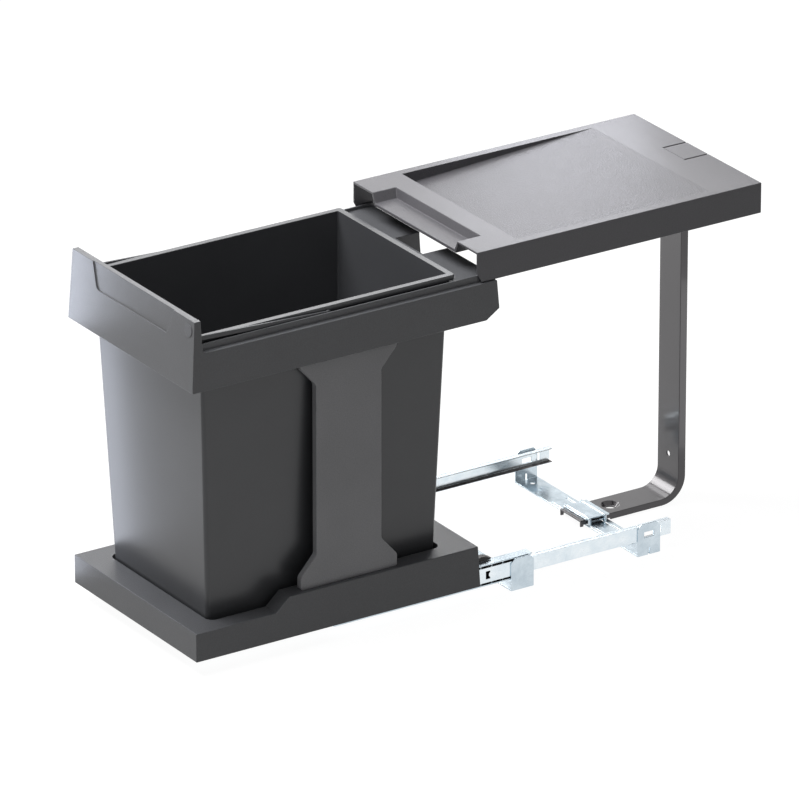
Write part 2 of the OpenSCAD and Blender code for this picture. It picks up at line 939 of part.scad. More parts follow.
module carrier_screws() {
    color("#9aa7ae") carrier_screw_places()
        translate([0, carrier_y, 0])
            rotate([90, 0, 0])
                screw(carrier_screw_len, screw_head_h);
}

// Lid

module recess(grow, over) {
    side_slab(-recess_x - grow, recess_x + grow)
        polygon([[recess_y - grow, lid_top + over], [recess_y - grow, lid_top - recess_depth - grow],
                 [recess_back_y, lid_top - grow], [recess_back_y, lid_top + over]]);
}

module trough(grow, z0, over) {
    x0 = trough_x + grow;
    x1 = x0 - trough_slope;
    back_y = lid_y + trough_len + grow;
    intersection() {
        front_slab(lid_y - over, back_y)
            polygon([[-x1, z0], [x1, z0], [x0, lid_top + over], [-x0, lid_top + over]]);
        side_slab(-x0, x0)
            polygon([[lid_y - over, z0], [back_y - trough_back_draft, z0], [back_y, lid_top + over],
                     [lid_y - over, lid_top + over]]);
    }
}

module lid() {
    color("#737276") difference() {
        union() {
            difference() {
                box(-lid_x, lid_x, lid_y, lid_back_y, lid_z, lid_top);
                box(-lid_in_x, lid_in_x, lid_y - cut, lid_back_y - skirt_t, lid_z - cut, lid_under_z);
            }
            recess(lid_t, 0);
            trough(lid_t, trough_floor_z - trough_lip_t, 0);
            for (x = [-carrier_x - rib_gap - lid_rib_t, carrier_x + rib_gap])
                box(x, x + lid_rib_t, carrier_y - lid_rib_over, carrier_back_y + lid_rib_over,
                    lid_under_z - lid_rib_h, lid_under_z);
        }
        recess(0, cut);
        trough(0, trough_floor_z, cut);
        for (x = [-tongue_w / 2 - tongue_slot, tongue_w / 2])
            box(x, x + tongue_slot, lid_back_y - tongue_len, lid_back_y + cut, lid_under_z - cut,
                lid_top + cut);
        box(-tongue_w / 2, tongue_w / 2, lid_back_y - tongue_len, lid_back_y - tongue_len + crease_w,
            lid_top - crease_h, lid_top + cut);
        box(-back_gap_x, back_gap_x, lid_back_y - skirt_t - cut, lid_back_y + cut, lid_z - cut,
            lid_under_z);
        side_slab(-lid_x - cut, lid_x + cut)
            polygon([[lid_y - cut, lid_z + nose_h], [lid_y, lid_z + nose_h], [lid_y + nose_len, lid_z],
                     [lid_y + nose_len, lid_z - cut], [lid_y - cut, lid_z - cut]]);
    }
}

// Drawer: base tray

module base_outline() {
    polygon([[base_y, base_z], [base_y, base_front_z], [base_step_y, base_front_z],
             [base_step_y + step_len, base_side_z], [base_back_y - base_back_lean, base_side_z],
             [base_back_y, base_z]]);
}

module base_inner_outline() {
    front_z = base_front_z - base_t;
    side_z = base_side_z - base_t;
    back_y = base_back_y - base_back_lean - base_t;
    polygon([[base_y + base_t, base_z - cut], [base_y + base_t, front_z],
             [base_step_y + step_shift, front_z], [base_step_y + step_shift + step_len, side_z],
             [back_y, side_z], [back_y, base_z - cut]]);
}

module base_kept() {
    box(-pocket_x - base_t, pocket_x + base_t, pocket_y - base_t, pocket_back_y + base_t, floor_under_z,
        base_side_z + cut);
    for (x = [-drawer_web_x, rail_rib_x])
        box(x, x + rail_rib_t, base_y, base_back_y, base_z, floor_under_z);
    for (i = [1:cross_rib_count])
        translate([0, base_y + i * (pocket_back_y - base_y) / (cross_rib_count + 1), 0])
            box(-rail_rib_x, rail_rib_x, 0, base_t, floor_under_z - cross_rib_h, floor_under_z);
    box(-base_notch_x - base_t, base_notch_x + base_t, base_notch_y - base_t, base_back_y,
        base_z, base_side_z);
}

module base_tray() {
    color("#48494c") difference() {
        side_slab(-base_x, base_x)
            base_outline();
        difference() {
            side_slab(-base_in_x, base_in_x)
                base_inner_outline();
            base_kept();
        }
        pad(pocket_x, pocket_y, pocket_back_y, floor_z, base_side_z + cut, pocket_r);
        box(-base_notch_x, base_notch_x, base_notch_y, base_back_y + cut, base_z - cut, base_side_z + cut);
        for (x = [-base_in_x, drawer_web_x])
            box(x, x + base_in_x - drawer_web_x, base_back_y - base_back_lean - 2 * base_t,
                base_back_y + cut, base_z - cut, channel_top_z + rear_open_gap);
        pillar_screw_places()
            rod_z(0, 0, base_side_z - base_t - cut, base_side_z + cut, screw_r + hole_gap);
        for (sx = [0, 1])
            mirror([sx, 0, 0])
                runner_screw_places()
                    rod_x(rail_rib_x - cut, drawer_web_x + cut, 0, 0, screw_r + hole_gap);
    }
}

// Drawer: pillars

module pillar_screw_places() {
    for (sx = [-1, 1], sy = [-1, 1])
        translate([sx * pillar_mid_x, pillar_y + sy * pillar_screw_y, 0])
            children();
}

module pillar() {
    w = pillar_w / 2;
    n = pillar_neck_w / 2;
    low = pillar_z + pillar_end_h;
    high = pillar_top_z - pillar_end_h;
    difference() {
        side_slab(pillar_in_x, pillar_x)
            translate([pillar_y, 0])
                polygon([[-w, pillar_z], [w, pillar_z], [w, low], [n, low + pillar_flare_h],
                         [n, high - pillar_flare_h], [w, high], [w, pillar_top_z], [-w, pillar_top_z],
                         [-w, high], [-n, high - pillar_flare_h], [-n, low + pillar_flare_h], [-w, low]]);
        pillar_screw_places() {
            rod_z(0, 0, pillar_z - cut, pillar_z + screw_len + cut, screw_r + hole_gap);
            rod_z(0, 0, pillar_top_z - screw_len - cut, pillar_top_z + cut, screw_r + hole_gap);
        }
    }
}

module pillar_right() {
    color("#5e5e60") pillar();
}

module pillar_left() {
    color("#5e5e60") left() pillar();
}

module pillar_foot_screws() {
    color("#9aa7ae") pillar_screw_places()
        translate([0, 0, base_side_z - base_t])
            mirror([0, 0, 1])
                screw(screw_len, screw_head_h);
}

module pillar_top_screws() {
    color("#9aa7ae") pillar_screw_places()
        translate([0, 0, pillar_top_z + frame_t])
            screw(screw_len, screw_head_h);
}

// Drawer: top frame with its front panel

module frame_section(inset, over) {
    low_z = frame_z - over;
    front_slab(panel_low_y - cut, frame_back_y + cut)
        polygon([[-frame_low_x + inset, low_z], [frame_low_x - inset, low_z],
                 [frame_top_x - inset, panel_top], [-frame_top_x + inset, panel_top]]);
}

module frame_outline() {
    back_low_y = panel_back_y + panel_back_lean;
    polygon([[panel_low_y, frame_z], [panel_y, panel_top], [panel_back_y, panel_top],
             [back_low_y, ledge_z + fillet_h],
             [back_low_y + fillet_len * fillet_share, ledge_z + fillet_h * fillet_share],
             [back_low_y + fillet_len, ledge_z], [frame_deck_y, ledge_z],
             [frame_back_y, frame_z + frame_chamfer_h], [frame_back_y - frame_chamfer_len, frame_z]]);
}

module frame_inner_outline() {
    slot_y = panel_back_y - frame_t;
    slot_z = panel_top - frame_t;
    under_z = ledge_z - frame_t;
    polygon([[panel_low_y + frame_t, frame_z - cut], [panel_y + frame_t, slot_z], [slot_y, slot_z],
             [slot_y, under_z], [frame_deck_y - frame_t, under_z],
             [frame_back_y - frame_t, frame_z + frame_chamfer_h + frame_t],
             [frame_back_y - frame_chamfer_len - 2 * frame_t, frame_z - cut]]);
}

module frame_shell() {
    difference() {
        intersection() {
            frame_section(0, 0);
            side_slab(-frame_low_x, frame_low_x)
                frame_outline();
        }
        intersection() {
            frame_section(frame_t, cut);
            side_slab(-frame_low_x, frame_low_x)
                frame_inner_outline();
        }
        box(-wall_in_x, wall_in_x, panel_back_y, frame_deck_y - frame_t, ledge_z - frame_t - cut,
            panel_top + cut);
    }
}

module frame_inner_walls() {
    low_z = ledge_z - frame_t;
    for (x = [-wall_x, wall_in_x])
        box(x, x + inner_wall_t, panel_back_y - frame_t, frame_deck_y, low_z, wall_z);
    box(-wall_x, wall_x, frame_deck_y - frame_t, frame_deck_y, low_z, lip_z);
    difference() {
        box(-wall_x, wall_x, panel_back_y - frame_t, frame_deck_y, lip_z - frame_t, lip_z);
        pad(rim_x - lip_under, rim_y + lip_under, rim_back_y - lip_under, lip_z - frame_t - cut,
            lip_z + cut, lip_corner_r);
        for (x = [-wall_in_x, rim_x - eye_notch_in])
            box(x, x + wall_in_x - rim_x + eye_notch_in, pivot_y - eye_notch_w / 2,
                pivot_y + eye_notch_w / 2, lip_z - frame_t - cut, lip_z + cut);
    }
}

module frame_sockets() {
    y0 = pillar_y - pillar_w / 2 - socket_end;
    y1 = pillar_y + pillar_w / 2 + socket_end;
    x0 = pillar_in_x - socket_side;
    intersection() {
        frame_section(frame_t / 2, 0);
        union()
            for (sx = [0, 1])
                mirror([sx, 0, 0]) {
                    box(x0, frame_low_x, y0, y1, pillar_top_z, pillar_top_z + frame_t);
                    for (y = [y0, y1 - frame_t])
                        box(x0, frame_low_x, y, y + frame_t, pillar_top_z, ledge_z - frame_t);
                }
    }
}

module on_panel() {
    translate([0, panel_y, panel_top])
        rotate([-atan2(panel_lean, panel_h), 0, 0])
            children();
}

module grip_cut() {
    low_x = grip_x - grip_slope;
    on_panel()
        front_slab(-cut, grip_depth)
            polygon([[-grip_x, cut], [-low_x, grip_corner - grip_h], [grip_corner - low_x, -grip_h],
                     [low_x - grip_corner, -grip_h], [low_x, grip_corner - grip_h], [grip_x, cut]]);
}

module on_badge() {
    on_panel()
        translate([frame_top_x - badge_side, 0, -badge_drop])
            children();
}

module top_frame() {
    color("#4c4d50") difference() {
        union() {
            frame_shell();
            frame_inner_walls();
            frame_sockets();
            box(-notch_x - frame_t, notch_x + frame_t, notch_y - frame_t, frame_deck_y,
                frame_z + frame_chamfer_h, lip_z);
        }
        box(-notch_x, notch_x, notch_y, frame_back_y + cut, frame_z - cut, lip_z + cut);
        pillar_screw_places()
            rod_z(0, 0, pillar_top_z - cut, pillar_top_z + frame_t + cut, screw_r + hole_gap);
        grip_cut();
        on_badge()
            rod_y(0, -cut, badge_t / 2, 0, badge_d / 2 + hole_gap);
    }
}

module badge_disc() {
    color("#6c6e72") on_badge()
        rod_y(0, -badge_t / 2, badge_t / 2, 0, badge_d / 2);
}

// Bin and its bail

// Tapering block with round corners, drawn from eight thin discs
module tub(x0, y0, back0, z0, r0, x1, y1, back1, z1, r1) {
    hull() {
        for (sx = [-1, 1], y = [y0 + r0, back0 - r0])
            translate([sx * (x0 - r0), y, z0])
                cylinder(r = r0, h = disc_t, $fn = 32);
        for (sx = [-1, 1], y = [y1 + r1, back1 - r1])
            translate([sx * (x1 - r1), y, z1 - disc_t])
                cylinder(r = r1, h = disc_t, $fn = 32);
    }
}

module waste_bin() {
    color("#3a3b3e") {
        difference() {
            union() {
                tub(bin_floor_x, bin_y, bin_back_y, bin_z, bin_corner_r, bin_top_x, bin_top_y,
                    bin_top_back_y, bin_top_z - rim_t / 2, bin_top_r);
                pad(rim_x, rim_y, rim_back_y, bin_top_z - rim_t, bin_top_z, rim_corner_r);
            }
            tub(bin_floor_x - bin_t, bin_y + bin_t, bin_back_y - bin_t, bin_z + bin_t, bin_corner_r - bin_t,
                bin_top_x - bin_t, bin_top_y + bin_t, bin_top_back_y - bin_t, bin_top_z + cut,
                bin_top_r - bin_t);
        }
        difference() {
            pad(rim_x, rim_y, rim_back_y, bin_top_z - rim_h, bin_top_z - rim_t, rim_corner_r);
            pad(rim_x - rim_edge_t, rim_y + rim_edge_t, rim_back_y - rim_edge_t, bin_top_z - rim_h - cut,
                bin_top_z, rim_corner_r - rim_edge_t);
        }
        for (x = [-rim_x, rim_x - rim_edge_t])
            box(x, x + rim_edge_t, pivot_y - boss_w / 2, pivot_y + boss_w / 2, pivot_z - boss_low,
                bin_top_z - rim_t);
        for (sx = [0, 1])
            mirror([sx, 0, 0])
                rod_x(rim_x - rim_edge_t, bail_out_x + pin_end, pivot_y, pivot_z, bail_pin_r);
    }
}

module bin_bail() {
    color("#2d2e31") difference() {
        union() {
            for (x = [-bail_out_x, bail_in_x]) {
                side_slab(x, x + bail_t)
                    polygon([[pivot_y, pivot_z + bail_h / 2], [pivot_y, pivot_z - bail_h / 2],
                             [bail_bar_y + bail_bar_w, bail_top_z - bail_h],
                             [bail_bar_y, bail_top_z - bail_h], [bail_bar_y, bail_top_z],
                             [bail_bar_y + bail_bar_w, bail_top_z]]);
                rod_x(x, x + bail_t, pivot_y, pivot_z, bail_eye_r);
            }
            box(-bail_out_x, bail_out_x, bail_bar_y, bail_bar_y + bail_bar_w, bail_bar_z, bail_top_z);
        }
        rod_x(-bail_out_x - cut, bail_out_x + cut, pivot_y, pivot_z, bail_pin_r + pin_play);
    }
}

front_cross_member();
rear_cross_member();
fixed_runner_left();
fixed_runner_right();
lid_bracket();
bracket_clamp();
clamp_pins();
lid_carrier();
carrier_screws();
lid();
middle_channel_left();
middle_runner_left();
middle_rivets_left();
middle_channel_right();
middle_runner_right();
middle_rivets_right();
outer_cage_left();
outer_balls_left();
outer_cage_right();
outer_balls_right();
inner_cage_left();
inner_balls_left();
inner_cage_right();
inner_balls_right();
drawer_runner_left();
drawer_runner_right();
runner_screws();
release_lever_left();
release_lever_right();
base_tray();
pillar_left();
pillar_right();
pillar_foot_screws();
pillar_top_screws();
top_frame();
badge_disc();
waste_bin();
bin_bail();
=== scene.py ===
"""Looks of a pull-out waste unit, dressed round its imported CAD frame.

Each sub-assembly is a class with its sizes in millimetres as fields and methods that build its meshes and
dress them; each finish is a frozen dataclass. Sheet metal and mouldings are merged copies of the frame's
meshes with their edges rounded as the real ones are. What repeats (balls, rivets, screws and pins) comes from
one Geometry Nodes tree, at the places that it has in the frame.
"""

from __future__ import annotations

import logging
import math
from dataclasses import dataclass
from enum import Enum

import bmesh
import bpy
from mathutils import Matrix, Vector
from mathutils.bvhtree import BVHTree

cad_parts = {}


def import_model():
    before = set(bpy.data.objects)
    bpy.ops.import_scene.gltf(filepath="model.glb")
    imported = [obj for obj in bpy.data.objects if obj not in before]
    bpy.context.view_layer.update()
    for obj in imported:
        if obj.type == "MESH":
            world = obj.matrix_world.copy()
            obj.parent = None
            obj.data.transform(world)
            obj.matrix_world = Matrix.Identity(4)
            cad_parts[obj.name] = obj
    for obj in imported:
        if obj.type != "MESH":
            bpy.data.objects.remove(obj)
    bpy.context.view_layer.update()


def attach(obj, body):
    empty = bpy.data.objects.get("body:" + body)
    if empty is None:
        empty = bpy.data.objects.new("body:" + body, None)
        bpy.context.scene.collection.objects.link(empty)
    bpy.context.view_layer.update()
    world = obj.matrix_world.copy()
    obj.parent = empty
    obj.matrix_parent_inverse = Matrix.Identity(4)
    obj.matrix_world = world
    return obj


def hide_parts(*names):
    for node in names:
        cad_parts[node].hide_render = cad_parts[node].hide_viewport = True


LOG = logging.getLogger("waste_unit")
MM = 0.001
WHITE = "#ffffff"

# A place, a step or a turn in space, and a crown's points as shares of its head's radius and height
Triple = tuple[float, float, float]
Crown = tuple[tuple[float, float], ...]

# Merge distance of a turned part's points, and the angle from which an edge of such a part stays sharp
TOUCH_MM = 0.001
SMALL_SHARP_DEG = 40.0

# Spans of a noise's values that are stretched to a whole range: most of them, or nearly all
MOST = {"From Min": 0.3, "From Max": 0.7}
NEARLY_ALL = {"From Min": 0.25, "From Max": 0.75}


class Side(Enum):
    """The two sides of the unit, as seen from the front, with the sign of their X."""

    LEFT = -1
    RIGHT = 1

    @property
    def word(self) -> str:
        """Lower-case name, as the frame's nodes end in."""
        return self.name.lower()


class Grain(Enum):
    """Surface that a mould's steel gives a moulding: size of the grain and height of the relief, in mm.

    The relief of the first two is steeper than the real one, so that it shows at the render's size.
    """

    SPARK = (1.6, 1.0)
    SATIN = (1.4, 0.4)
    SMOOTH = (2.5, 0.008)


# Colours and node trees


def linear(colour: str) -> tuple[float, float, float, float]:
    """Turns an sRGB hex colour into the linear colour that the shaders take.

    Args:
        colour: colour as "#rrggbb".

    Returns:
        Linear red, green, blue and an alpha of 1.
    """
    parts = [int(colour[i : i + 2], 16) / 255 for i in (1, 3, 5)]
    red, green, blue = [c / 12.92 if c <= 0.04045 else ((c + 0.055) / 1.055) ** 2.4 for c in parts]
    return (red, green, blue, 1.0)


def tones(colour: str, share: float) -> tuple[list[float], list[float]]:
    """Gives a colour's darker and lighter tone.

    Args:
        colour: colour as "#rrggbb".
        share: how far the tones lie below and above it.

    Returns:
        The two linear tones, darker first.
    """
    parts = linear(colour)[:3]
    return [c * (1 - share) for c in parts] + [1.0], [min(c * (1 + share), 1.0) for c in parts] + [1.0]


def put(tree: bpy.types.NodeTree, kind: str, inputs: dict[str | int, object] | None = None,
        **settings: object) -> bpy.types.Node:
    """Adds one node to a tree, with its settings, values and links.

    Args:
        tree: the tree that takes the node.
        kind: Blender's type name of the node.
        inputs: value or feeding output socket, by the input's name or index.
        **settings: the node's own properties.

    Returns:
        The new node.
    """
    node = tree.nodes.new(kind)
    for name, value in settings.items():
        setattr(node, name, value)
    for name, value in (inputs or {}).items():
        socket = node.inputs[name]
        if isinstance(value, bpy.types.NodeSocket):
            tree.links.new(value, socket)
        else:
            socket.default_value = value
    return node


def new_material(name: str) -> tuple[bpy.types.Material, bpy.types.NodeTree, bpy.types.NodeSocket]:
    """Makes an empty node material.

    Args:
        name: the material's name, for the real material and how it was made.

    Returns:
        The material, its tree and the Object coordinates' output socket.
    """
    made = bpy.data.materials.new(name)
    made.use_nodes = True
    made.node_tree.nodes.clear()
    place = put(made.node_tree, "ShaderNodeTexCoord").outputs["Object"]
    return made, made.node_tree, place


def finish_material(tree: bpy.types.NodeTree, inputs: dict[str | int, object]) -> None:
    """Ends a material's tree in one Principled shader.

    Args:
        tree: the material's tree.
        inputs: the shader's values and feeding sockets, by the input's name.
    """
    shader = put(tree, "ShaderNodeBsdfPrincipled", inputs)
    put(tree, "ShaderNodeOutputMaterial", {"Surface": shader.outputs["BSDF"]})


def per_metre(size_mm: float) -> float:
    """Turns a real size into a noise's scale, because Object coordinates are in metres.

    Args:
        size_mm: size of the pattern's features.

    Returns:
        The scale.
    """
    return 1 / (size_mm * MM)


# Finishes


@dataclass(frozen=True)
class Field:
    """Two boxes in mm, low and high corner, where a moulding carries its full grain."""

    sunk: tuple[Triple, Triple]
    trough: tuple[Triple, Triple]
    outside: float = 0.2

    def share(self, tree: bpy.types.NodeTree, place: bpy.types.NodeSocket) -> bpy.types.NodeSocket:
        """Adds the share of the grain's height at a place.

        Args:
            tree: the material's tree.
            place: the Object coordinates' socket.

        Returns:
            A socket with 1 inside either box and the outside share elsewhere.
        """
        axes = put(tree, "ShaderNodeSeparateXYZ", {0: place}).outputs
        total: bpy.types.NodeSocket | float = self.outside
        for low, high in (self.sunk, self.trough):
            inside: bpy.types.NodeSocket | float = 1.0 - self.outside
            for axis, start, end in zip(axes, low, high):
                middle, half = (start + end) / 2 * MM, (end - start) / 2 * MM
                near = put(tree, "ShaderNodeMath", {0: axis, 1: middle, 2: half}, operation="COMPARE")
                both = put(tree, "ShaderNodeMath", {0: near.outputs[0], 1: inside}, operation="MULTIPLY")
                inside = both.outputs[0]
            either = put(tree, "ShaderNodeMath", {0: inside, 1: total}, operation="ADD", use_clamp=True)
            total = either.outputs[0]
        return total


@dataclass(frozen=True)
class MouldedPlastic:
    """Injection-moulded ABS or polypropylene: an even dull sheen over a fine grain, with faint flow clouds.

    Grain of 1.4 to 2.5 mm is coarser than the real 0.1 mm, which is too fine to show in the render. On a
    piece with a field, such as the lid's sunk surface, the full grain lies in the field and a fifth of it
    round it. A smooth piece has less than the usual unevenness of 1 in colour and gloss. The roughness goes a
    little below and above its middle, by what makes a spot glossier and duller.
    """

    name: str
    slot: str
    colour: str
    roughness: float
    grain: Grain
    cloud_mm: float = 70.0
    cloud_share: float = 0.06
    fleck_share: float = 0.14
    glossier: float = 0.05
    duller: float = 0.06
    uneven: float = 1.0
    field: Field | None = None

    def material(self) -> bpy.types.Material:
        """Builds the material.

        Returns:
            The moulded plastic's material.
        """
        made, tree, place = new_material(self.name)
        size, depth = self.grain.value
        cloud = put(tree, "ShaderNodeTexNoise",
                    {"Vector": place, "Scale": per_metre(self.cloud_mm), "Detail": 2.0})
        speck = put(tree, "ShaderNodeTexNoise",
                    {"Vector": place, "Scale": per_metre(size), "Detail": 3.0, "Roughness": 0.65})
        low, high = tones(self.colour, self.cloud_share)
        drift = put(tree, "ShaderNodeMapRange", {"Value": cloud.outputs["Fac"], **MOST})
        tone = put(tree, "ShaderNodeMix", {0: drift.outputs["Result"], 6: low, 7: high}, data_type="RGBA")
        spread = self.fleck_share * self.uneven
        fleck = put(tree, "ShaderNodeMapRange",
                    {"Value": speck.outputs["Fac"], **NEARLY_ALL,
                     "To Min": 1.0 - spread, "To Max": 1.0 + spread})
        tint = put(tree, "ShaderNodeMix", {0: 1.0, 6: tone.outputs[2], 7: fleck.outputs["Result"]},
                   data_type="RGBA", blend_type="MULTIPLY")
        gloss = put(tree, "ShaderNodeMapRange",
                    {"Value": speck.outputs["Fac"], **MOST,
                     "To Min": self.roughness - self.glossier * self.uneven,
                     "To Max": self.roughness + self.duller * self.uneven})
        height: bpy.types.NodeSocket = speck.outputs["Fac"]
        if self.field:
            height = put(tree, "ShaderNodeMath", {0: height, 1: self.field.share(tree, place)},
                         operation="MULTIPLY").outputs[0]
        relief = put(tree, "ShaderNodeBump", {"Height": height, "Strength": 0.5, "Distance": depth * MM})
        finish_material(tree, {"Base Color": tint.outputs[2], "Roughness": gloss.outputs["Result"],
                               "Normal": relief.outputs["Normal"]})
        return made


@dataclass(frozen=True)
class Grease:
    """Painted shade darkening a runner's two raceways: its mid height, the band's place and its web, in mm.
    """

    mid_z: float
    middle: float
    half: float
    web_x: float
    colour: str

    def share(self, tree: bpy.types.NodeTree, place: bpy.types.NodeSocket) -> bpy.types.NodeSocket:
        """Adds the painted shade's cover at a place.

        Args:
            tree: the material's tree.
            place: the Object coordinates' socket.

        Returns:
            A socket that is 1 inside the raceways and 0 outside.
        """
        axes = put(tree, "ShaderNodeSeparateXYZ", {0: place}).outputs
        side = put(tree, "ShaderNodeMath", {0: axes[0]}, operation="ABSOLUTE")
        inner = put(tree, "ShaderNodeMath", {0: side.outputs[0], 1: self.web_x * MM}, operation="LESS_THAN")
        height = put(tree, "ShaderNodeMath", {0: axes[2], 1: self.mid_z * MM}, operation="SUBTRACT")
        level = put(tree, "ShaderNodeMath", {0: height.outputs[0]}, operation="ABSOLUTE")
        near = put(tree, "ShaderNodeMath", {0: level.outputs[0], 1: self.middle * MM, 2: self.half * MM},
                   operation="COMPARE")
        painted_shade = put(tree, "ShaderNodeMath", {0: near.outputs[0], 1: inner.outputs[0]}, operation="MULTIPLY")
        return painted_shade.outputs[0]


@dataclass(frozen=True)
class ZincPlate:
    """Cold-rolled steel with electroplated zinc: bluish white metal, faintly mottled, rolling lines along Y.

    The mottling is 14 mm across. The rolling lines are 2.5 mm apart, coarser than the real 0.3 mm, so that
    they show.
    """

    name: str
    slot: str
    colour: str
    dark: str
    roughness: float
    glossier: float = 0.03
    duller: float = 0.04
    mottle_mm: float = 14.0
    line_mm: float = 2.5
    line_stretch: float = 0.03
    line_depth_mm: float = 0.01
    grease: Grease | None = None

    def material(self) -> bpy.types.Material:
        """Builds the material.

        Returns:
            The zinc-plated steel's material.
        """
        made, tree, place = new_material(self.name)
        mottle = put(tree, "ShaderNodeTexNoise",
                     {"Vector": place, "Scale": per_metre(self.mottle_mm), "Detail": 3.0, "Roughness": 0.55})
        along = put(tree, "ShaderNodeMapping", {"Vector": place, "Scale": (1.0, self.line_stretch, 1.0)})
        lines = put(tree, "ShaderNodeTexNoise",
                    {"Vector": along.outputs["Vector"], "Scale": per_metre(self.line_mm), "Detail": 2.0})
        spread = put(tree, "ShaderNodeMapRange", {"Value": mottle.outputs["Fac"], **MOST})
        tone = put(tree, "ShaderNodeMix",
                   {0: spread.outputs["Result"], 6: linear(self.dark), 7: linear(self.colour)},
                   data_type="RGBA")
        gloss = put(tree, "ShaderNodeMapRange",
                    {"Value": mottle.outputs["Fac"], **NEARLY_ALL, "To Min": self.roughness - self.glossier,
                     "To Max": self.roughness + self.duller})
        depth = self.line_depth_mm * MM
        relief = put(tree, "ShaderNodeBump",
                     {"Height": lines.outputs["Fac"], "Strength": 0.06, "Distance": depth})
        # Painted shade: the raceways under the runner's lips are darkened as if they lay in shadow
        if self.grease:
            painted_shade, dark = self.grease.share(tree, place), linear(self.grease.colour)
            tone = put(tree, "ShaderNodeMix", {0: painted_shade, 6: tone.outputs[2], 7: dark}, data_type="RGBA")
        finish_material(tree, {"Base Color": tone.outputs[2], "Metallic": 1.0,
                               "Roughness": gloss.outputs["Result"], "Normal": relief.outputs["Normal"]})
        return made


@dataclass(frozen=True)
class PowderCoat:
    """Powder coat with metal flake on steel: a glossy, faintly rippled skin over a soft metal sheen.

    The ripple is 2 mm from crest to crest.
    """

    name: str
    slot: str
    colour: str
    roughness: float = 0.3
    flake_share: float = 0.45
    skin_weight: float = 0.6
    skin_roughness: float = 0.1
    ripple_mm: float = 2.0
    ripple_depth_mm: float = 0.03
    cloud_mm: float = 40.0
    cloud_share: float = 0.08

    def material(self) -> bpy.types.Material:
        """Builds the material.

        Returns:
            The powder coat's material.
        """
        made, tree, place = new_material(self.name)
        ripple = put(tree, "ShaderNodeTexNoise",
                     {"Vector": place, "Scale": per_metre(self.ripple_mm), "Detail": 1.0})
        cloud = put(tree, "ShaderNodeTexNoise",
                    {"Vector": place, "Scale": per_metre(self.cloud_mm), "Detail": 2.0})
        low, high = tones(self.colour, self.cloud_share)
        tone = put(tree, "ShaderNodeMix", {0: cloud.outputs["Fac"], 6: low, 7: high}, data_type="RGBA")
        depth = self.ripple_depth_mm * MM
        relief = put(tree, "ShaderNodeBump",
                     {"Height": ripple.outputs["Fac"], "Strength": 0.3, "Distance": depth})
        finish_material(tree, {"Base Color": tone.outputs[2], "Metallic": self.flake_share,
                               "Roughness": self.roughness, "Coat Weight": self.skin_weight,
                               "Coat Roughness": self.skin_roughness, "Normal": relief.outputs["Normal"]})
        return made


@dataclass(frozen=True)
class PolishedSteel:
    """Ground and polished steel, as of runner balls and plated screws: a clear mirror with a faint haze."""

    name: str
    slot: str
    colour: str
    roughness: float
    haze_mm: float = 1.5
    clearest: float = 0.6
    dullest: float = 1.5

    def material(self) -> bpy.types.Material:
        """Builds the material.

        Returns:
            The polished steel's material.
        """
        made, tree, place = new_material(self.name)
        haze = put(tree, "ShaderNodeTexNoise",
                   {"Vector": place, "Scale": per_metre(self.haze_mm), "Detail": 2.0})
        gloss = put(tree, "ShaderNodeMapRange",
                    {"Value": haze.outputs["Fac"], "To Min": self.roughness * self.clearest,
                     "To Max": self.roughness * self.dullest})
        finish_material(tree, {"Base Color": linear(self.colour), "Metallic": 1.0,
                               "Roughness": gloss.outputs["Result"]})
        return made


Finish = MouldedPlastic | ZincPlate | PowderCoat | PolishedSteel


@dataclass(frozen=True)
class Palette:
    """Every finish of the unit."""

    sheet: Finish = ZincPlate("zinc_plated_pressed_steel", "zinc_plated_steel", "#d2dde4", "#bbc8d1", 0.22)
    rail: Finish = ZincPlate("bright_zinc_plated_rolled_steel", "zinc_plated_steel", "#eaf1f5", "#d9e4eb",
                             0.24)
    # The track carries painted shade, a dark band in its raceways where the lips would lie in shadow
    track: Finish = ZincPlate("bright_zinc_plated_rolled_steel_greased", "zinc_plated_steel", "#eaf1f5",
                              "#d9e4eb", 0.24, grease=Grease(25.7, 6.2, 1.7, 116.2, "#5c5756"))
    screw: Finish = PolishedSteel("zinc_plated_screw_steel", "screw_steel", "#aab4ba", 0.3)
    ball: Finish = PolishedSteel("polished_ball_steel", "ball_steel", "#d9dcde", 0.08)
    coat: Finish = PowderCoat("powder_coated_steel_anthracite", "coated_steel", "#413e41")
    lid: Finish = MouldedPlastic(
        "moulded_abs_lid", "lid_plastic", "#5a595d", 0.4, Grain.SPARK,
        field=Field(((-110.0, -85.5, 380.0), (109.5, 160.0, 400.0)),
                    ((-82.0, -141.5, 380.0), (82.0, -111.5, 398.2))))
    frame: Finish = MouldedPlastic("moulded_abs_frame", "frame_plastic", "#5a5b5e", 0.33, Grain.SATIN)
    tray: Finish = MouldedPlastic("moulded_abs_tray", "tray_plastic", "#4f5053", 0.38, Grain.SATIN)
    pillar: Finish = MouldedPlastic("moulded_abs_pillar", "pillar_plastic", "#a8a8ab", 0.36, Grain.SATIN)
    bin: Finish = MouldedPlastic("moulded_polypropylene_bin", "bin_plastic", "#4d4e51", 0.31, Grain.SMOOTH,
                                 uneven=0.2)
    bail: Finish = MouldedPlastic("moulded_polypropylene_bail", "bail_plastic", "#4a4b4e", 0.42, Grain.SMOOTH)
    black: Finish = MouldedPlastic("moulded_acetal_black", "black_plastic", "#3b383a", 0.38, Grain.SMOOTH)
    lever: Finish = MouldedPlastic("moulded_acetal_lever", "black_plastic", "#4f4948", 0.36, Grain.SMOOTH)
    badge: Finish = MouldedPlastic("moulded_abs_badge_disc", "badge_plastic", "#606165", 0.4, Grain.SATIN)


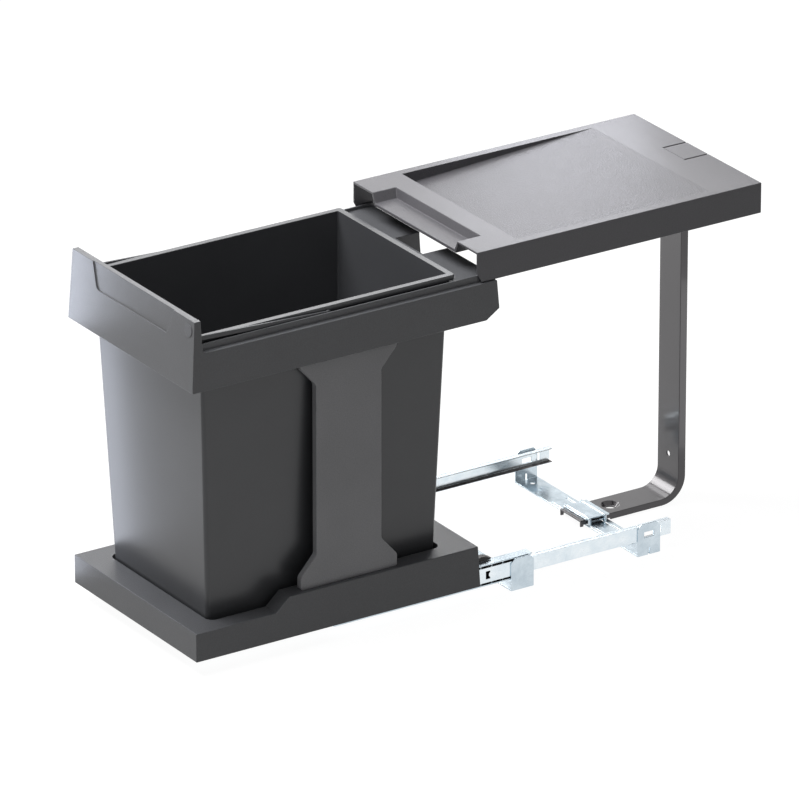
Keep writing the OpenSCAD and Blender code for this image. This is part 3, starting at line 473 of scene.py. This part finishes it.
class Workshop:
    """Builds each finish once, and hands out its material."""

    def __init__(self, palette: Palette) -> None:
        """Keeps the palette to build from."""
        self.palette = palette
        self.made: dict[str, bpy.types.Material] = {}

    def material(self, finish: Finish) -> bpy.types.Material:
        """Gives a finish's material, built at its first use.

        Args:
            finish: the finish.

        Returns:
            Its material.
        """
        if finish.name not in self.made:
            self.made[finish.name] = finish.material()
        return self.made[finish.name]


# Meshes


def link(name: str, mesh: bpy.types.Mesh, material: bpy.types.Material) -> bpy.types.Object:
    """Puts a mesh with one material into the scene, at the origin.

    Args:
        name: the object's name.
        mesh: its mesh, with its place in it.
        material: its material.

    Returns:
        The new object.
    """
    mesh.materials.clear()
    mesh.materials.append(material)
    made = bpy.data.objects.new(name, mesh)
    bpy.context.scene.collection.objects.link(made)
    return made


@dataclass(frozen=True)
class Edges:
    """How a piece's sharp edges are rounded: greatest radius in mm, steps of the arc, and angles that count.

    An edge's radius is at most room_share of the room beside it, and an edge with less than least_share of
    the full radius stays sharp. Where long_radius is given, it is the limit for every edge but those along X,
    which are the outline corners of an upright plate.
    """

    radius: float
    steps: int
    long_radius: float | None = None
    sharp_deg: float = 28.0
    bend_deg: float = 40.0
    flat_deg: float = 0.8
    kept_deg: float = 50.0
    room_share: float = 0.3
    least_share: float = 0.12
    along_x: float = 0.9
    merge_mm: float = 0.002
    skin_mm: float = 0.03
    reach: float = 20.0
    spots: tuple[float, ...] = (0.1, 0.5, 0.9)

    def room(self, solid: BVHTree, edge: bmesh.types.BMEdge) -> float:
        """Measures how far the two faces of a sharp edge run before their next sharp boundary.

        Args:
            solid: the piece before rounding.
            edge: the sharp edge.

        Returns:
            The least distance, in metres, found just above and just under both faces.
        """
        skin, far = self.skin_mm * MM, self.reach * self.radius * MM
        ends = [corner.co for corner in edge.verts]
        along = (ends[1] - ends[0]).normalized()
        least = far
        for face in edge.link_faces:
            inward = face.normal.cross(along)
            if inward.dot(face.calc_center_median() - ends[0]) < 0:
                inward.negate()
            for share in self.spots:
                start = ends[0].lerp(ends[1], share) + inward * skin
                for lift in (-skin, skin):
                    distance = solid.ray_cast(start + face.normal * lift, inward, far)[3]
                    if distance is not None:
                        least = min(least, distance)
        return least

    def shares(self, shape: bmesh.types.BMesh, solid: BVHTree) -> dict[bmesh.types.BMEdge, float]:
        """Works out each sharp edge's share of the full radius, the same all along a smooth run of edges.

        Args:
            shape: the merged mesh.
            solid: the piece before rounding.

        Returns:
            Share of the radius by edge.
        """
        sharp = [e for e in shape.edges
                 if len(e.link_faces) == 2 and e.calc_face_angle(0) > math.radians(self.sharp_deg)]
        shares = {e: min(1.0, self.room_share * self.room(solid, e) / (self.radius * MM)) for e in sharp}
        if self.long_radius:
            for edge in sharp:
                along = (edge.verts[0].co - edge.verts[1].co).normalized()
                if abs(along.x) < self.along_x:
                    shares[edge] = min(shares[edge], self.long_radius / self.radius)
        left, straight_on = set(sharp), math.cos(math.radians(self.bend_deg))
        while left:
            run, reach = [], [left.pop()]
            while reach:
                edge = reach.pop()
                run.append(edge)
                for corner in edge.verts:
                    here = (edge.other_vert(corner).co - corner.co).normalized()
                    near = {e: (corner.co - e.other_vert(corner).co).normalized()
                            for e in corner.link_edges if e in left}
                    straight = [e for e, there in near.items() if here.dot(there) > straight_on]
                    left.difference_update(straight)
                    reach.extend(straight)
            share = min(shares[e] for e in run)
            for edge in run:
                shares[edge] = share if share > self.least_share else 0.0
        return shares

    def round_off(self, node: str, name: str, material: bpy.types.Material) -> bpy.types.Object:
        """Makes a merged copy of a CAD node's mesh with its edges rounded and its flats kept flat.

        Args:
            node: the CAD node.
            name: the new piece's name.
            material: its material.

        Returns:
            The new piece, at the origin.
        """
        shape = bmesh.new()
        shape.from_mesh(bpy.data.objects[node].data)
        bmesh.ops.remove_doubles(shape, verts=shape.verts, dist=self.merge_mm * MM)
        solid = BVHTree.FromBMesh(shape)
        bmesh.ops.dissolve_limit(shape, angle_limit=math.radians(self.flat_deg), verts=shape.verts,
                                 edges=shape.edges)
        bmesh.ops.triangulate(shape, faces=[f for f in shape.faces if len(f.verts) > 4])
        weight = shape.edges.layers.float.new("bevel_weight_edge")
        for edge, share in self.shares(shape, solid).items():
            edge[weight] = share
        mesh = bpy.data.meshes.new(name)
        shape.to_mesh(mesh)
        shape.free()
        piece = link(name, mesh, material)
        arcs = piece.modifiers.new("rounded_edges", "BEVEL")
        arcs.limit_method, arcs.width, arcs.segments = "WEIGHT", self.radius * MM, self.steps
        arcs.use_clamp_overlap, arcs.loop_slide = False, False
        bake(piece)
        piece.data.shade_smooth()
        piece.data.set_sharp_from_angle(angle=math.radians(self.kept_deg))
        flats = piece.modifiers.new("flat_faces", "WEIGHTED_NORMAL")
        flats.keep_sharp = True
        return bake(piece)


def bake(piece: bpy.types.Object) -> bpy.types.Object:
    """Turns a piece with live modifiers into one with a plain mesh.

    Args:
        piece: the object with its modifiers.

    Returns:
        The same object, with no modifier left.
    """
    graph = bpy.context.evaluated_depsgraph_get()
    done = piece.evaluated_get(graph)
    mesh = bpy.data.meshes.new_from_object(done, preserve_all_data_layers=True, depsgraph=graph)
    piece.modifiers.clear()
    piece.data = mesh
    return piece


def turned(name: str, profile: list[tuple[float, float]], steps: int = 20) -> bpy.types.Mesh:
    """Turns a profile about Z.

    Args:
        name: the mesh's name.
        profile: points of radius and height in mm, from the bottom up.
        steps: facets round the axis.

    Returns:
        The closed, turned mesh.
    """
    shape = bmesh.new()
    line = [shape.verts.new((r * MM, 0.0, z * MM)) for r, z in profile]
    strand = [shape.edges.new(pair) for pair in zip(line, line[1:])]
    bmesh.ops.spin(shape, geom=line + strand, cent=(0, 0, 0), axis=(0, 0, 1), dvec=(0, 0, 0), angle=math.tau,
                   steps=steps, use_merge=True)
    # A spin leaves its faces in another order at each run
    shape.verts.index_update()
    spun = sorted(shape.faces, key=lambda face: sorted(corner.index for corner in face.verts))
    for place, face in enumerate(spun):
        face.index = place
    shape.faces.sort()
    bmesh.ops.remove_doubles(shape, verts=shape.verts, dist=TOUCH_MM * MM)
    bmesh.ops.holes_fill(shape, edges=[e for e in shape.edges if e.is_boundary])
    bmesh.ops.recalc_face_normals(shape, faces=shape.faces)
    mesh = bpy.data.meshes.new(name)
    shape.to_mesh(mesh)
    shape.free()
    mesh.shade_smooth()
    mesh.set_sharp_from_angle(angle=math.radians(SMALL_SHARP_DEG))
    return mesh


# What repeats


@dataclass(frozen=True)
class RoundSocketScrew:
    """A screw with thread rings and a round socket: length under the head and height of the head, in mm.

    The radii and the pitch are in mm too. The crest is a share of the pitch.
    """

    length: float
    head_h: float
    shank_r: float = 1.8
    core_r: float = 1.404
    tip_r: float = 0.702
    head_r: float = 3.4
    socket_r: float = 1.7
    socket_floor_r: float = 1.632
    socket_share: float = 0.5
    pitch: float = 1.25
    crest: tuple[float, float] = (0.4, 0.55)
    tip: float = 0.6
    neck: float = 0.4
    plain: float = 0.3
    crown: Crown = ((1.0, 0.0), (1.0, 0.6), (0.9, 0.92), (0.8, 1.0))
    facets: int = 24

    def mesh(self, name: str) -> bpy.types.Mesh:
        """Turns the screw.

        Args:
            name: the mesh's name.

        Returns:
            The screw's mesh, pointing down from its head's seat at zero.
        """
        profile = [(0.0, -self.length), (self.tip_r, -self.length)]
        z = self.tip - self.length
        while z + self.pitch < -self.neck:
            profile += [(self.core_r, z), *((self.shank_r, z + self.pitch * share) for share in self.crest)]
            z += self.pitch
        profile += [(self.core_r, -self.plain), (self.core_r, 0.0)]
        profile += [(self.head_r * out, self.head_h * up) for out, up in self.crown]
        floor = self.head_h * self.socket_share
        profile += [(self.socket_r, self.head_h), (self.socket_floor_r, floor), (0.0, floor)]
        return turned(name, profile, self.facets)


@dataclass(frozen=True)
class Run:
    """A run of copies: first place, step and count, row step and rows, in mm, and the copies' turn."""

    first: Triple
    step: Triple = (0.0, 0.0, 0.0)
    count: int = 1
    row_step: Triple = (0.0, 0.0, 0.0)
    rows: int = 1
    turn_deg: Triple = (0.0, 0.0, 0.0)

    def inputs(self) -> dict[str, object]:
        """Gives the repeating tree's inputs, in its units.

        Returns:
            Value by the input's name.
        """
        places = {"First": self.first, "Step": self.step, "Row Step": self.row_step}
        return {"Count": self.count, "Rows": self.rows, "Turn": tuple(math.radians(c) for c in self.turn_deg),
                **{name: tuple(c * MM for c in place) for name, place in places.items()}}


class Repeats:
    """One Geometry Nodes tree that sets a part along a row, and that row along a second one."""

    def __init__(self) -> None:
        """Builds the tree with its named inputs."""
        tree = bpy.data.node_groups.new("part_in_rows", "GeometryNodeTree")
        face = tree.interface
        face.new_socket("Geometry", in_out="INPUT", socket_type="NodeSocketGeometry")
        face.new_socket("Part", in_out="INPUT", socket_type="NodeSocketObject")
        face.new_socket("Finish", in_out="INPUT", socket_type="NodeSocketMaterial")
        for name in ("Count", "Rows"):
            face.new_socket(name, in_out="INPUT", socket_type="NodeSocketInt")
        for name in ("First", "Step", "Row Step", "Turn"):
            face.new_socket(name, in_out="INPUT", socket_type="NodeSocketVector")
        face.new_socket("Geometry", in_out="OUTPUT", socket_type="NodeSocketGeometry")
        given = put(tree, "NodeGroupInput").outputs
        row = put(tree, "GeometryNodeMeshLine",
                  {"Count": given["Count"], "Start Location": given["First"], "Offset": given["Step"]},
                  mode="OFFSET")
        rows = put(tree, "GeometryNodeMeshLine", {"Count": given["Rows"], "Offset": given["Row Step"]},
                   mode="OFFSET")
        spots = put(tree, "GeometryNodeInstanceOnPoints",
                    {"Points": rows.outputs["Mesh"], "Instance": row.outputs["Mesh"]})
        places = put(tree, "GeometryNodeRealizeInstances", {"Geometry": spots.outputs["Instances"]})
        part = put(tree, "GeometryNodeObjectInfo", {"Object": given["Part"]}, transform_space="ORIGINAL")
        turn = put(tree, "FunctionNodeEulerToRotation", {"Euler": given["Turn"]})
        copies = put(tree, "GeometryNodeInstanceOnPoints",
                     {"Points": places.outputs["Geometry"], "Instance": part.outputs["Geometry"],
                      "Rotation": turn.outputs["Rotation"]})
        solid = put(tree, "GeometryNodeRealizeInstances", {"Geometry": copies.outputs["Instances"]})
        dressed = put(tree, "GeometryNodeSetMaterial",
                      {"Geometry": solid.outputs["Geometry"], "Material": given["Finish"]})
        put(tree, "NodeGroupOutput", {"Geometry": dressed.outputs["Geometry"]})
        self.tree = tree

    def make(self, name: str, part: bpy.types.Mesh, finish: bpy.types.Material,
             runs: tuple[Run, ...]) -> bpy.types.Object:
        """Sets a part along some runs and joins them into one plain mesh.

        Args:
            name: the new piece's name.
            part: the mesh that repeats, round its own origin.
            finish: its material.
            runs: where the copies go.

        Returns:
            The new piece, at the origin.
        """
        model = bpy.data.objects.new(f"{name}_model", part)
        shape = bmesh.new()
        for run in runs:
            holder = bpy.data.objects.new(f"{name}_run", bpy.data.meshes.new(f"{name}_run"))
            bpy.context.scene.collection.objects.link(holder)
            rows = holder.modifiers.new("rows", "NODES")
            rows.node_group = self.tree
            sockets = {s.name: s.identifier for s in self.tree.interface.items_tree if s.in_out == "INPUT"}
            for socket, value in ({"Part": model, "Finish": finish} | run.inputs()).items():
                rows[sockets[socket]] = value
            baked = bake(holder)
            shape.from_mesh(baked.data)
            bpy.data.objects.remove(holder)
        bpy.data.objects.remove(model)
        mesh = bpy.data.meshes.new(name)
        shape.to_mesh(mesh)
        shape.free()
        mesh.shade_smooth()
        mesh.set_sharp_from_angle(angle=math.radians(SMALL_SHARP_DEG))
        return link(name, mesh, finish)


# Assemblies


@dataclass
class Assembly:
    """What every sub-assembly shares: the workshop, the repeating tree, and how a piece is handed in."""

    shop: Workshop
    repeats: Repeats

    def hand_in(self, piece: bpy.types.Object, body: str, node: str) -> None:
        """Rides a finished piece on its body, in place of its CAD node, and reports it.

        Args:
            piece: the finished piece.
            body: the CAD body that it moves with.
            node: the CAD node that it stands for.
        """
        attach(piece, body)
        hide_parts(node)
        bpy.data.objects[node].data.materials.clear()
        bpy.data.objects[node].data.materials.append(piece.data.materials[0])
        LOG.info("%s: %d faces, rides on %s, stands for %s", piece.name, len(piece.data.polygons), body, node)

    def rounded(self, node: str, made: str, body: str, finish: Finish, edges: Edges) -> None:
        """Makes and hands in the edge-rounded piece for one CAD node, its name ended by how it was made."""
        piece = edges.round_off(node, f"{node}_{made}", self.shop.material(finish))
        self.hand_in(piece, body, node)

    def repeated(self, node: str, made: str, body: str, finish: Finish, part: bpy.types.Mesh,
                 *runs: Run) -> None:
        """Makes and hands in the piece for one CAD node whose solids are copies of a part along some runs."""
        piece = self.repeats.make(f"{node}_{made}", part, self.shop.material(finish), runs)
        self.hand_in(piece, body, node)


@dataclass
class Chassis(Assembly):
    """Cross members and fixed runners, which are screwed to the cabinet's floor."""

    sheet_edge: float = 0.25
    bend_edge: float = 0.5

    def build(self) -> None:
        """Builds and dresses the chassis."""
        finishes = self.shop.palette
        for end in ("front", "rear"):
            self.rounded(f"{end}_cross_member", "sheet", "chassis", finishes.sheet, Edges(self.bend_edge, 2))
        for side in Side:
            self.rounded(f"fixed_runner_{side.word}", "sheet", "chassis", finishes.track,
                         Edges(self.sheet_edge, 2))


@dataclass
class LidPost(Assembly):
    """The bent bracket with its clamp and pins, the carrier on its top, and the lid.

    The pins' crown goes from the head's seat up.
    """

    coat_edge: float = 0.7
    clamp_edge: float = 0.25
    carrier_edge: float = 0.6
    lid_edge: float = 0.7
    pin_x: float = 22.8
    pin_y: float = 69.5
    pin_pitch: float = 20.0
    pin_low: float = 0.3
    pin_seat: float = 9.0
    pin_r: float = 1.0
    pin_chamfer: float = 0.3
    pin_head_r: float = 1.7
    pin_head_h: float = 0.9
    pin_crown: Crown = ((1.0, 0.0), (1.0, 0.35), (0.85, 0.75), (0.5, 0.96), (0.0, 1.0))
    screw: RoundSocketScrew = RoundSocketScrew(12.0, 2.0)
    screw_x: float = 10.0
    screw_y: float = 181.0
    screw_z: float = 383.0

    def pin(self) -> bpy.types.Mesh:
        """Builds one peened pin of the clamp, standing on its shank.

        Returns:
            The pin's mesh, its head's seat at zero.
        """
        r, cut, low = self.pin_r, self.pin_chamfer, self.pin_low - self.pin_seat
        shank = [(0, low), (r - cut, low), (r, low + cut), (r, 0)]
        head = [(self.pin_head_r * out, self.pin_head_h * up) for out, up in self.pin_crown]
        return turned("clamp_pin", shank + head)

    def build(self) -> None:
        """Builds and dresses the bracket, its clamp and the lid."""
        finishes = self.shop.palette
        self.rounded("lid_bracket", "pressing", "chassis", finishes.coat, Edges(self.coat_edge, 3))
        self.rounded("bracket_clamp", "pressing", "chassis", finishes.sheet, Edges(self.clamp_edge, 2))
        self.repeated("clamp_pins", "peened", "chassis", finishes.screw, self.pin(),
                      Run((-self.pin_x, self.pin_y, self.pin_seat), (2 * self.pin_x, 0, 0), 2,
                          (0, self.pin_pitch, 0), 2))
        self.rounded("lid_carrier", "moulding", "chassis", finishes.lid, Edges(self.carrier_edge, 2))
        self.repeated("carrier_screws", "set", "chassis", finishes.screw, self.screw.mesh("carrier_screw"),
                      Run((-self.screw_x, self.screw_y, self.screw_z), (2 * self.screw_x, 0, 0), 2,
                          turn_deg=(90, 0, 0)))
        self.rounded("lid", "moulding", "chassis", finishes.lid, Edges(self.lid_edge, 3))


@dataclass
class RunnerSet(Assembly):
    """Middle channels and runners with rivets, cages and balls, and drawer runners with screws and levers.

    The rivets' crown goes from the head's top down.
    """

    sheet_edge: float = 0.25
    cage_edge: float = 0.15
    lever_edge: float = 0.6
    rail_z: float = 25.7
    middle_y: float = -298.4
    middle_step: float = 105.0
    rivet_x: float = 105.3
    rivet_r: float = 1.8
    rivet_head_r: float = 3.0
    rivet_low: float = -1.7
    rivet_high: float = 2.0
    rivet_head_h: float = 0.5
    rivet_crown: Crown = ((0.0, 0.0), (0.6, 0.1), (0.95, 0.6), (1.0, 1.0))
    ball_r: float = 1.45
    ball_steps: int = 12
    ball_pitch: float = 14.0
    low_z: float = 15.95
    row_gap: float = 19.5
    outer_x: float = 113.79
    outer_y: float = -131.9
    outer_count: int = 5
    inner_x: float = 101.59
    inner_y: float = -308.4
    inner_count: int = 9
    screw: RoundSocketScrew = RoundSocketScrew(5.5, 0.7)
    screw_x: float = 94.6
    screw_y: float = -436.0
    screw_step: float = 130.0

    def rivet(self) -> bpy.types.Mesh:
        """Builds one rivet along Z, its two formed heads crowned.

        Returns:
            The rivet's mesh.
        """
        r, head, h = self.rivet_r, self.rivet_head_r, self.rivet_head_h
        lower = [(head * out, self.rivet_low + h * down) for out, down in self.rivet_crown]
        upper = [(head * out, self.rivet_high - h * down) for out, down in reversed(self.rivet_crown)]
        return turned("rivet", [*lower, (r, self.rivet_low + h), (r, self.rivet_high - h), *upper])

    def ball(self) -> bpy.types.Mesh:
        """Builds one runner ball.

        Returns:
            The ball's mesh.
        """
        turns = [math.pi * i / self.ball_steps for i in range(1, self.ball_steps)]
        arc = [(self.ball_r * math.sin(turn), -self.ball_r * math.cos(turn)) for turn in turns]
        return turned("runner_ball", [(0, -self.ball_r), *arc, (0, self.ball_r)])

    def build(self) -> None:
        """Builds and dresses everything that slides between the chassis and the drawer."""
        finishes = self.shop.palette
        ball, rivet = self.ball(), self.rivet()
        sheet, cage, lever = Edges(self.sheet_edge, 2), Edges(self.cage_edge, 2), Edges(self.lever_edge, 3)
        for side in Side:
            word, sign = side.word, side.value
            body = f"middle_{word}"
            self.rounded(f"middle_channel_{word}", "sheet", body, finishes.sheet, sheet)
            self.rounded(f"middle_runner_{word}", "sheet", body, finishes.sheet, sheet)
            self.repeated(f"middle_rivets_{word}", "row", body, finishes.screw, rivet,
                          Run((sign * self.rivet_x, self.middle_y, self.rail_z), (0, self.middle_step, 0), 3,
                              turn_deg=(0, 90 * sign, 0)))
            for level, x, y, count in (("outer", self.outer_x, self.outer_y, self.outer_count),
                                       ("inner", self.inner_x, self.inner_y, self.inner_count)):
                body = f"{level}_cage_body_{word}"
                rows = Run((sign * x, y, self.low_z), (0, self.ball_pitch, 0), count, (0, 0, self.row_gap), 2)
                self.repeated(f"{level}_balls_{word}", "rows", body, finishes.ball, ball, rows)
                self.rounded(f"{level}_cage_{word}", "moulding", body, finishes.black, cage)
            self.rounded(f"drawer_runner_{word}", "sheet", "drawer", finishes.rail, sheet)
            self.rounded(f"release_lever_{word}", "moulding", "drawer", finishes.lever, lever)
        places = [Run((side.value * self.screw_x, self.screw_y, self.rail_z), (0, self.screw_step, 0), 3,
                      turn_deg=(0, 90 * side.value, 0)) for side in Side]
        self.repeated("runner_screws", "set", "drawer", finishes.screw, self.screw.mesh("runner_screw"),
                      *places)


@dataclass
class DrawerShell(Assembly):
    """Base tray, pillars with their screws, and the top frame with its front panel."""

    tray_edge: float = 0.8
    frame_edge: float = 0.6
    badge_edge: float = 0.25
    pillar_edge: float = 0.8
    pillar_corner: float = 3.0
    screw: RoundSocketScrew = RoundSocketScrew(14.0, 2.0)
    screw_x: float = 112.3
    screw_y: float = -340.5
    screw_step: float = 84.0
    foot_z: float = 61.9
    top_z: float = 332.1

    def build(self) -> None:
        """Builds and dresses the drawer's shell."""
        finishes = self.shop.palette
        self.rounded("base_tray", "moulding", "drawer", finishes.tray, Edges(self.tray_edge, 3))
        for side in Side:
            self.rounded(f"pillar_{side.word}", "moulding", "drawer", finishes.pillar,
                         Edges(self.pillar_corner, 4, self.pillar_edge))
        for level, z, turn in (("foot", self.foot_z, 180.0), ("top", self.top_z, 0.0)):
            self.repeated(f"pillar_{level}_screws", "set", "drawer", finishes.screw,
                          self.screw.mesh(f"pillar_{level}_screw"),
                          Run((-self.screw_x, self.screw_y, z), (2 * self.screw_x, 0, 0), 2,
                              (0, self.screw_step, 0), 2, (turn, 0, 0)))
        self.rounded("top_frame", "moulding", "drawer", finishes.frame, Edges(self.frame_edge, 3))
        self.rounded("badge_disc", "moulding", "drawer", finishes.badge, Edges(self.badge_edge, 2))


@dataclass
class BinSet(Assembly):
    """The lift-out bin and its bail."""

    bin_edge: float = 0.5
    bail_edge: float = 0.6

    def build(self) -> None:
        """Builds and dresses the bin and its bail."""
        finishes = self.shop.palette
        self.rounded("waste_bin", "moulding", "bin", finishes.bin, Edges(self.bin_edge, 3))
        self.rounded("bin_bail", "moulding", "bail", finishes.bail, Edges(self.bail_edge, 3))


# Studio


def facing(place: Triple, aim: Triple) -> Matrix:
    """Turns something to face a point.

    Args:
        place: where it hangs, in metres.
        aim: the point that it faces, in metres.

    Returns:
        Its matrix, with its back along Z.
    """
    away = Vector(place) - Vector(aim)
    return Matrix.Translation(place) @ away.to_track_quat("Z", "Y").to_matrix().to_4x4()


def square(name: str, half: float) -> bpy.types.Mesh:
    """Makes a flat square round the origin.

    Args:
        name: the mesh's name.
        half: half its side, in metres.

    Returns:
        The mesh, one face.
    """
    mesh = bpy.data.meshes.new(name)
    corners = [(-half, -half, 0), (half, -half, 0), (half, half, 0), (-half, half, 0)]
    mesh.from_pydata(corners, [], [(0, 1, 2, 3)])
    return mesh


@dataclass(frozen=True)
class Softbox:
    """A soft lamp: its place and the point that it faces, in metres, its two sides in metres, and its watts.

    A lamp that is only mirrored puts a highlight on a face and leaves the face's own colour alone.
    """

    name: str
    place: Triple
    aim: Triple
    size: tuple[float, float]
    watts: float
    only_mirrored: bool = False
    colour: str = WHITE

    def build(self) -> None:
        """Hangs the lamp in the scene."""
        lamp = bpy.data.lights.new(self.name, "AREA")
        lamp.shape = "RECTANGLE"
        lamp.size, lamp.size_y = self.size
        lamp.energy = self.watts
        lamp.color = linear(self.colour)[:3]
        made = bpy.data.objects.new(self.name, lamp)
        made.visible_camera = False
        made.visible_diffuse = not self.only_mirrored
        made.matrix_world = facing(self.place, self.aim)
        bpy.context.scene.collection.objects.link(made)


@dataclass(frozen=True)
class Flag:
    """A black card that bright metal mirrors, as in a photo studio: place, aim and side in metres."""

    name: str
    place: Triple
    aim: Triple
    side: float
    colour: str

    def build(self) -> None:
        """Hangs the card, which shows in reflections alone."""
        mesh = square(self.name, self.side / 2)
        mesh.transform(facing(self.place, self.aim))
        made, tree, _ = new_material("black_felt")
        cloth = put(tree, "ShaderNodeBsdfDiffuse", {"Color": linear(self.colour)})
        put(tree, "ShaderNodeOutputMaterial", {"Surface": cloth.outputs[0]})
        card = link(self.name, mesh, made)
        card.visible_camera = card.visible_diffuse = card.visible_shadow = False


@dataclass
class Studio:
    """Camera at the photograph's angle, soft lamps, a white room and a pale floor."""

    azimuth_deg: float = 56.942
    elevation_deg: float = 23.13
    focal_px: float = 9544.8
    photo_px: float = 800.0
    sensor_mm: float = 36.0
    distance: float = 10.132
    target: Triple = (0.0, -0.141, 0.2)
    shift_right: float = 0.01547
    shift_up: float = 0.00989
    clip_end: float = 60.0
    floor_half: float = 6.0
    floor_paint: str = "#6e6e6e"
    floor_glow: float = 0.95
    room_light: float = 0.14
    boxes: tuple[Softbox, ...] = (
        Softbox("softbox_above", (-0.42, -0.85, 2.05), (0.0, -0.15, 0.2), (1.4, 1.3), 60.0),
        Softbox("softbox_behind", (-0.95, 0.45, 1.12), (0.0, 0.04, 0.4), (0.9, 0.5), 4.5),
        Softbox("strip_lid", (-0.297, 0.227, 0.514), (0.0, 0.034, 0.364), (0.22, 0.12), 0.32, True,
                "#f1f4ff"),
        Softbox("strip_panel", (-0.17, -0.525, 0.365), (0.67, 0.015, 0.365), (0.05, 0.15), 0.145, True,
                "#e8efff"),
        Softbox("strip_bin", (-0.166, -0.5, 0.14), (0.674, 0.04, 0.14), (0.05, 0.27), 0.17, True, "#e8efff"),
        Softbox("strip_bend", (-0.42, -0.04, 0.3), (0.0, 0.17, 0.03), (0.25, 0.2), 1.5, True),
        Softbox("strip_post", (0.14, 0.27, 0.1), (-0.63, -0.23, 0.1), (0.06, 0.2), 0.035, True),
    )
    flag: Flag = Flag("black_flag", (1.6, 1.1, 0.85), (0.0, 0.05, 0.02), 1.3, "#1c1a19")

    def camera(self) -> None:
        """Sets up the camera from the view that was fitted to the photograph."""
        az, el = math.radians(self.azimuth_deg), math.radians(self.elevation_deg)
        right = Vector((math.cos(az), math.sin(az), 0))
        back = Vector((math.cos(el) * math.sin(az), -math.cos(el) * math.cos(az), math.sin(el)))
        up = back.cross(right)
        aim = Vector(self.target) - right * self.shift_right - up * self.shift_up
        lens = bpy.data.cameras.new("camera")
        lens.sensor_width = self.sensor_mm
        lens.lens = self.focal_px * self.sensor_mm / self.photo_px
        lens.clip_end = self.clip_end
        made = bpy.data.objects.new("camera", lens)
        turn = Matrix((right, up, back)).transposed().to_4x4()
        made.matrix_world = Matrix.Translation(aim + back * self.distance) @ turn
        bpy.context.scene.collection.objects.link(made)
        bpy.context.scene.camera = made

    def room(self) -> None:
        """Lights the object from all round, and shows white to the camera and in reflections."""
        world = bpy.data.worlds.new("white_room")
        bpy.context.scene.world = world
        world.use_nodes = True
        tree = world.node_tree
        tree.nodes.clear()
        seen = self.seen(tree)
        soft = put(tree, "ShaderNodeBackground", {"Color": linear(WHITE), "Strength": self.room_light})
        white = put(tree, "ShaderNodeBackground", {"Color": linear(WHITE), "Strength": 1.0})
        both = put(tree, "ShaderNodeMixShader", {0: seen, 1: soft.outputs[0], 2: white.outputs[0]})
        put(tree, "ShaderNodeOutputWorld", {"Surface": both.outputs[0]})

    def seen(self, tree: bpy.types.NodeTree) -> bpy.types.NodeSocket:
        """Adds the test for a ray that shows the background: from the camera, or mirrored, or let through.

        Args:
            tree: the world's or the floor's tree.

        Returns:
            A socket that is 1 for such a ray.
        """
        path = put(tree, "ShaderNodeLightPath").outputs
        either = put(tree, "ShaderNodeMath", {0: path["Is Camera Ray"], 1: path["Is Glossy Ray"]},
                     operation="MAXIMUM")
        every = put(tree, "ShaderNodeMath", {0: either.outputs[0], 1: path["Is Transmission Ray"]},
                    operation="MAXIMUM")
        return every.outputs[0]

    def floor(self) -> None:
        """Lays the floor: its paint keeps the object's shadow, and its glow is pale and lights nothing."""
        made, tree, _ = new_material("matt_white_floor")
        paint = put(tree, "ShaderNodeBsdfDiffuse", {"Color": linear(self.floor_paint)})
        glow = put(tree, "ShaderNodeEmission", {"Color": linear(WHITE), "Strength": self.floor_glow})
        lit = put(tree, "ShaderNodeAddShader", {0: paint.outputs[0], 1: glow.outputs[0]})
        both = put(tree, "ShaderNodeMixShader", {0: self.seen(tree), 1: paint.outputs[0], 2: lit.outputs[0]})
        put(tree, "ShaderNodeOutputMaterial", {"Surface": both.outputs[0]})
        link("floor", square("floor", self.floor_half), made)

    def build(self) -> None:
        """Builds the studio."""
        self.camera()
        self.room()
        self.floor()
        for piece in (*self.boxes, self.flag):
            piece.build()
        bpy.context.scene.view_settings.view_transform = "Standard"


def main() -> None:
    """Loads the frame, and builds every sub-assembly round it."""
    logging.basicConfig(level=logging.INFO, format="%(name)s: %(message)s")
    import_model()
    Studio().build()
    shop, repeats = Workshop(Palette()), Repeats()
    for assembly in (Chassis, LidPost, RunnerSet, DrawerShell, BinSet):
        LOG.info("building %s", assembly.__name__)
        assembly(shop, repeats).build()


if __name__ == "__main__":
    main()
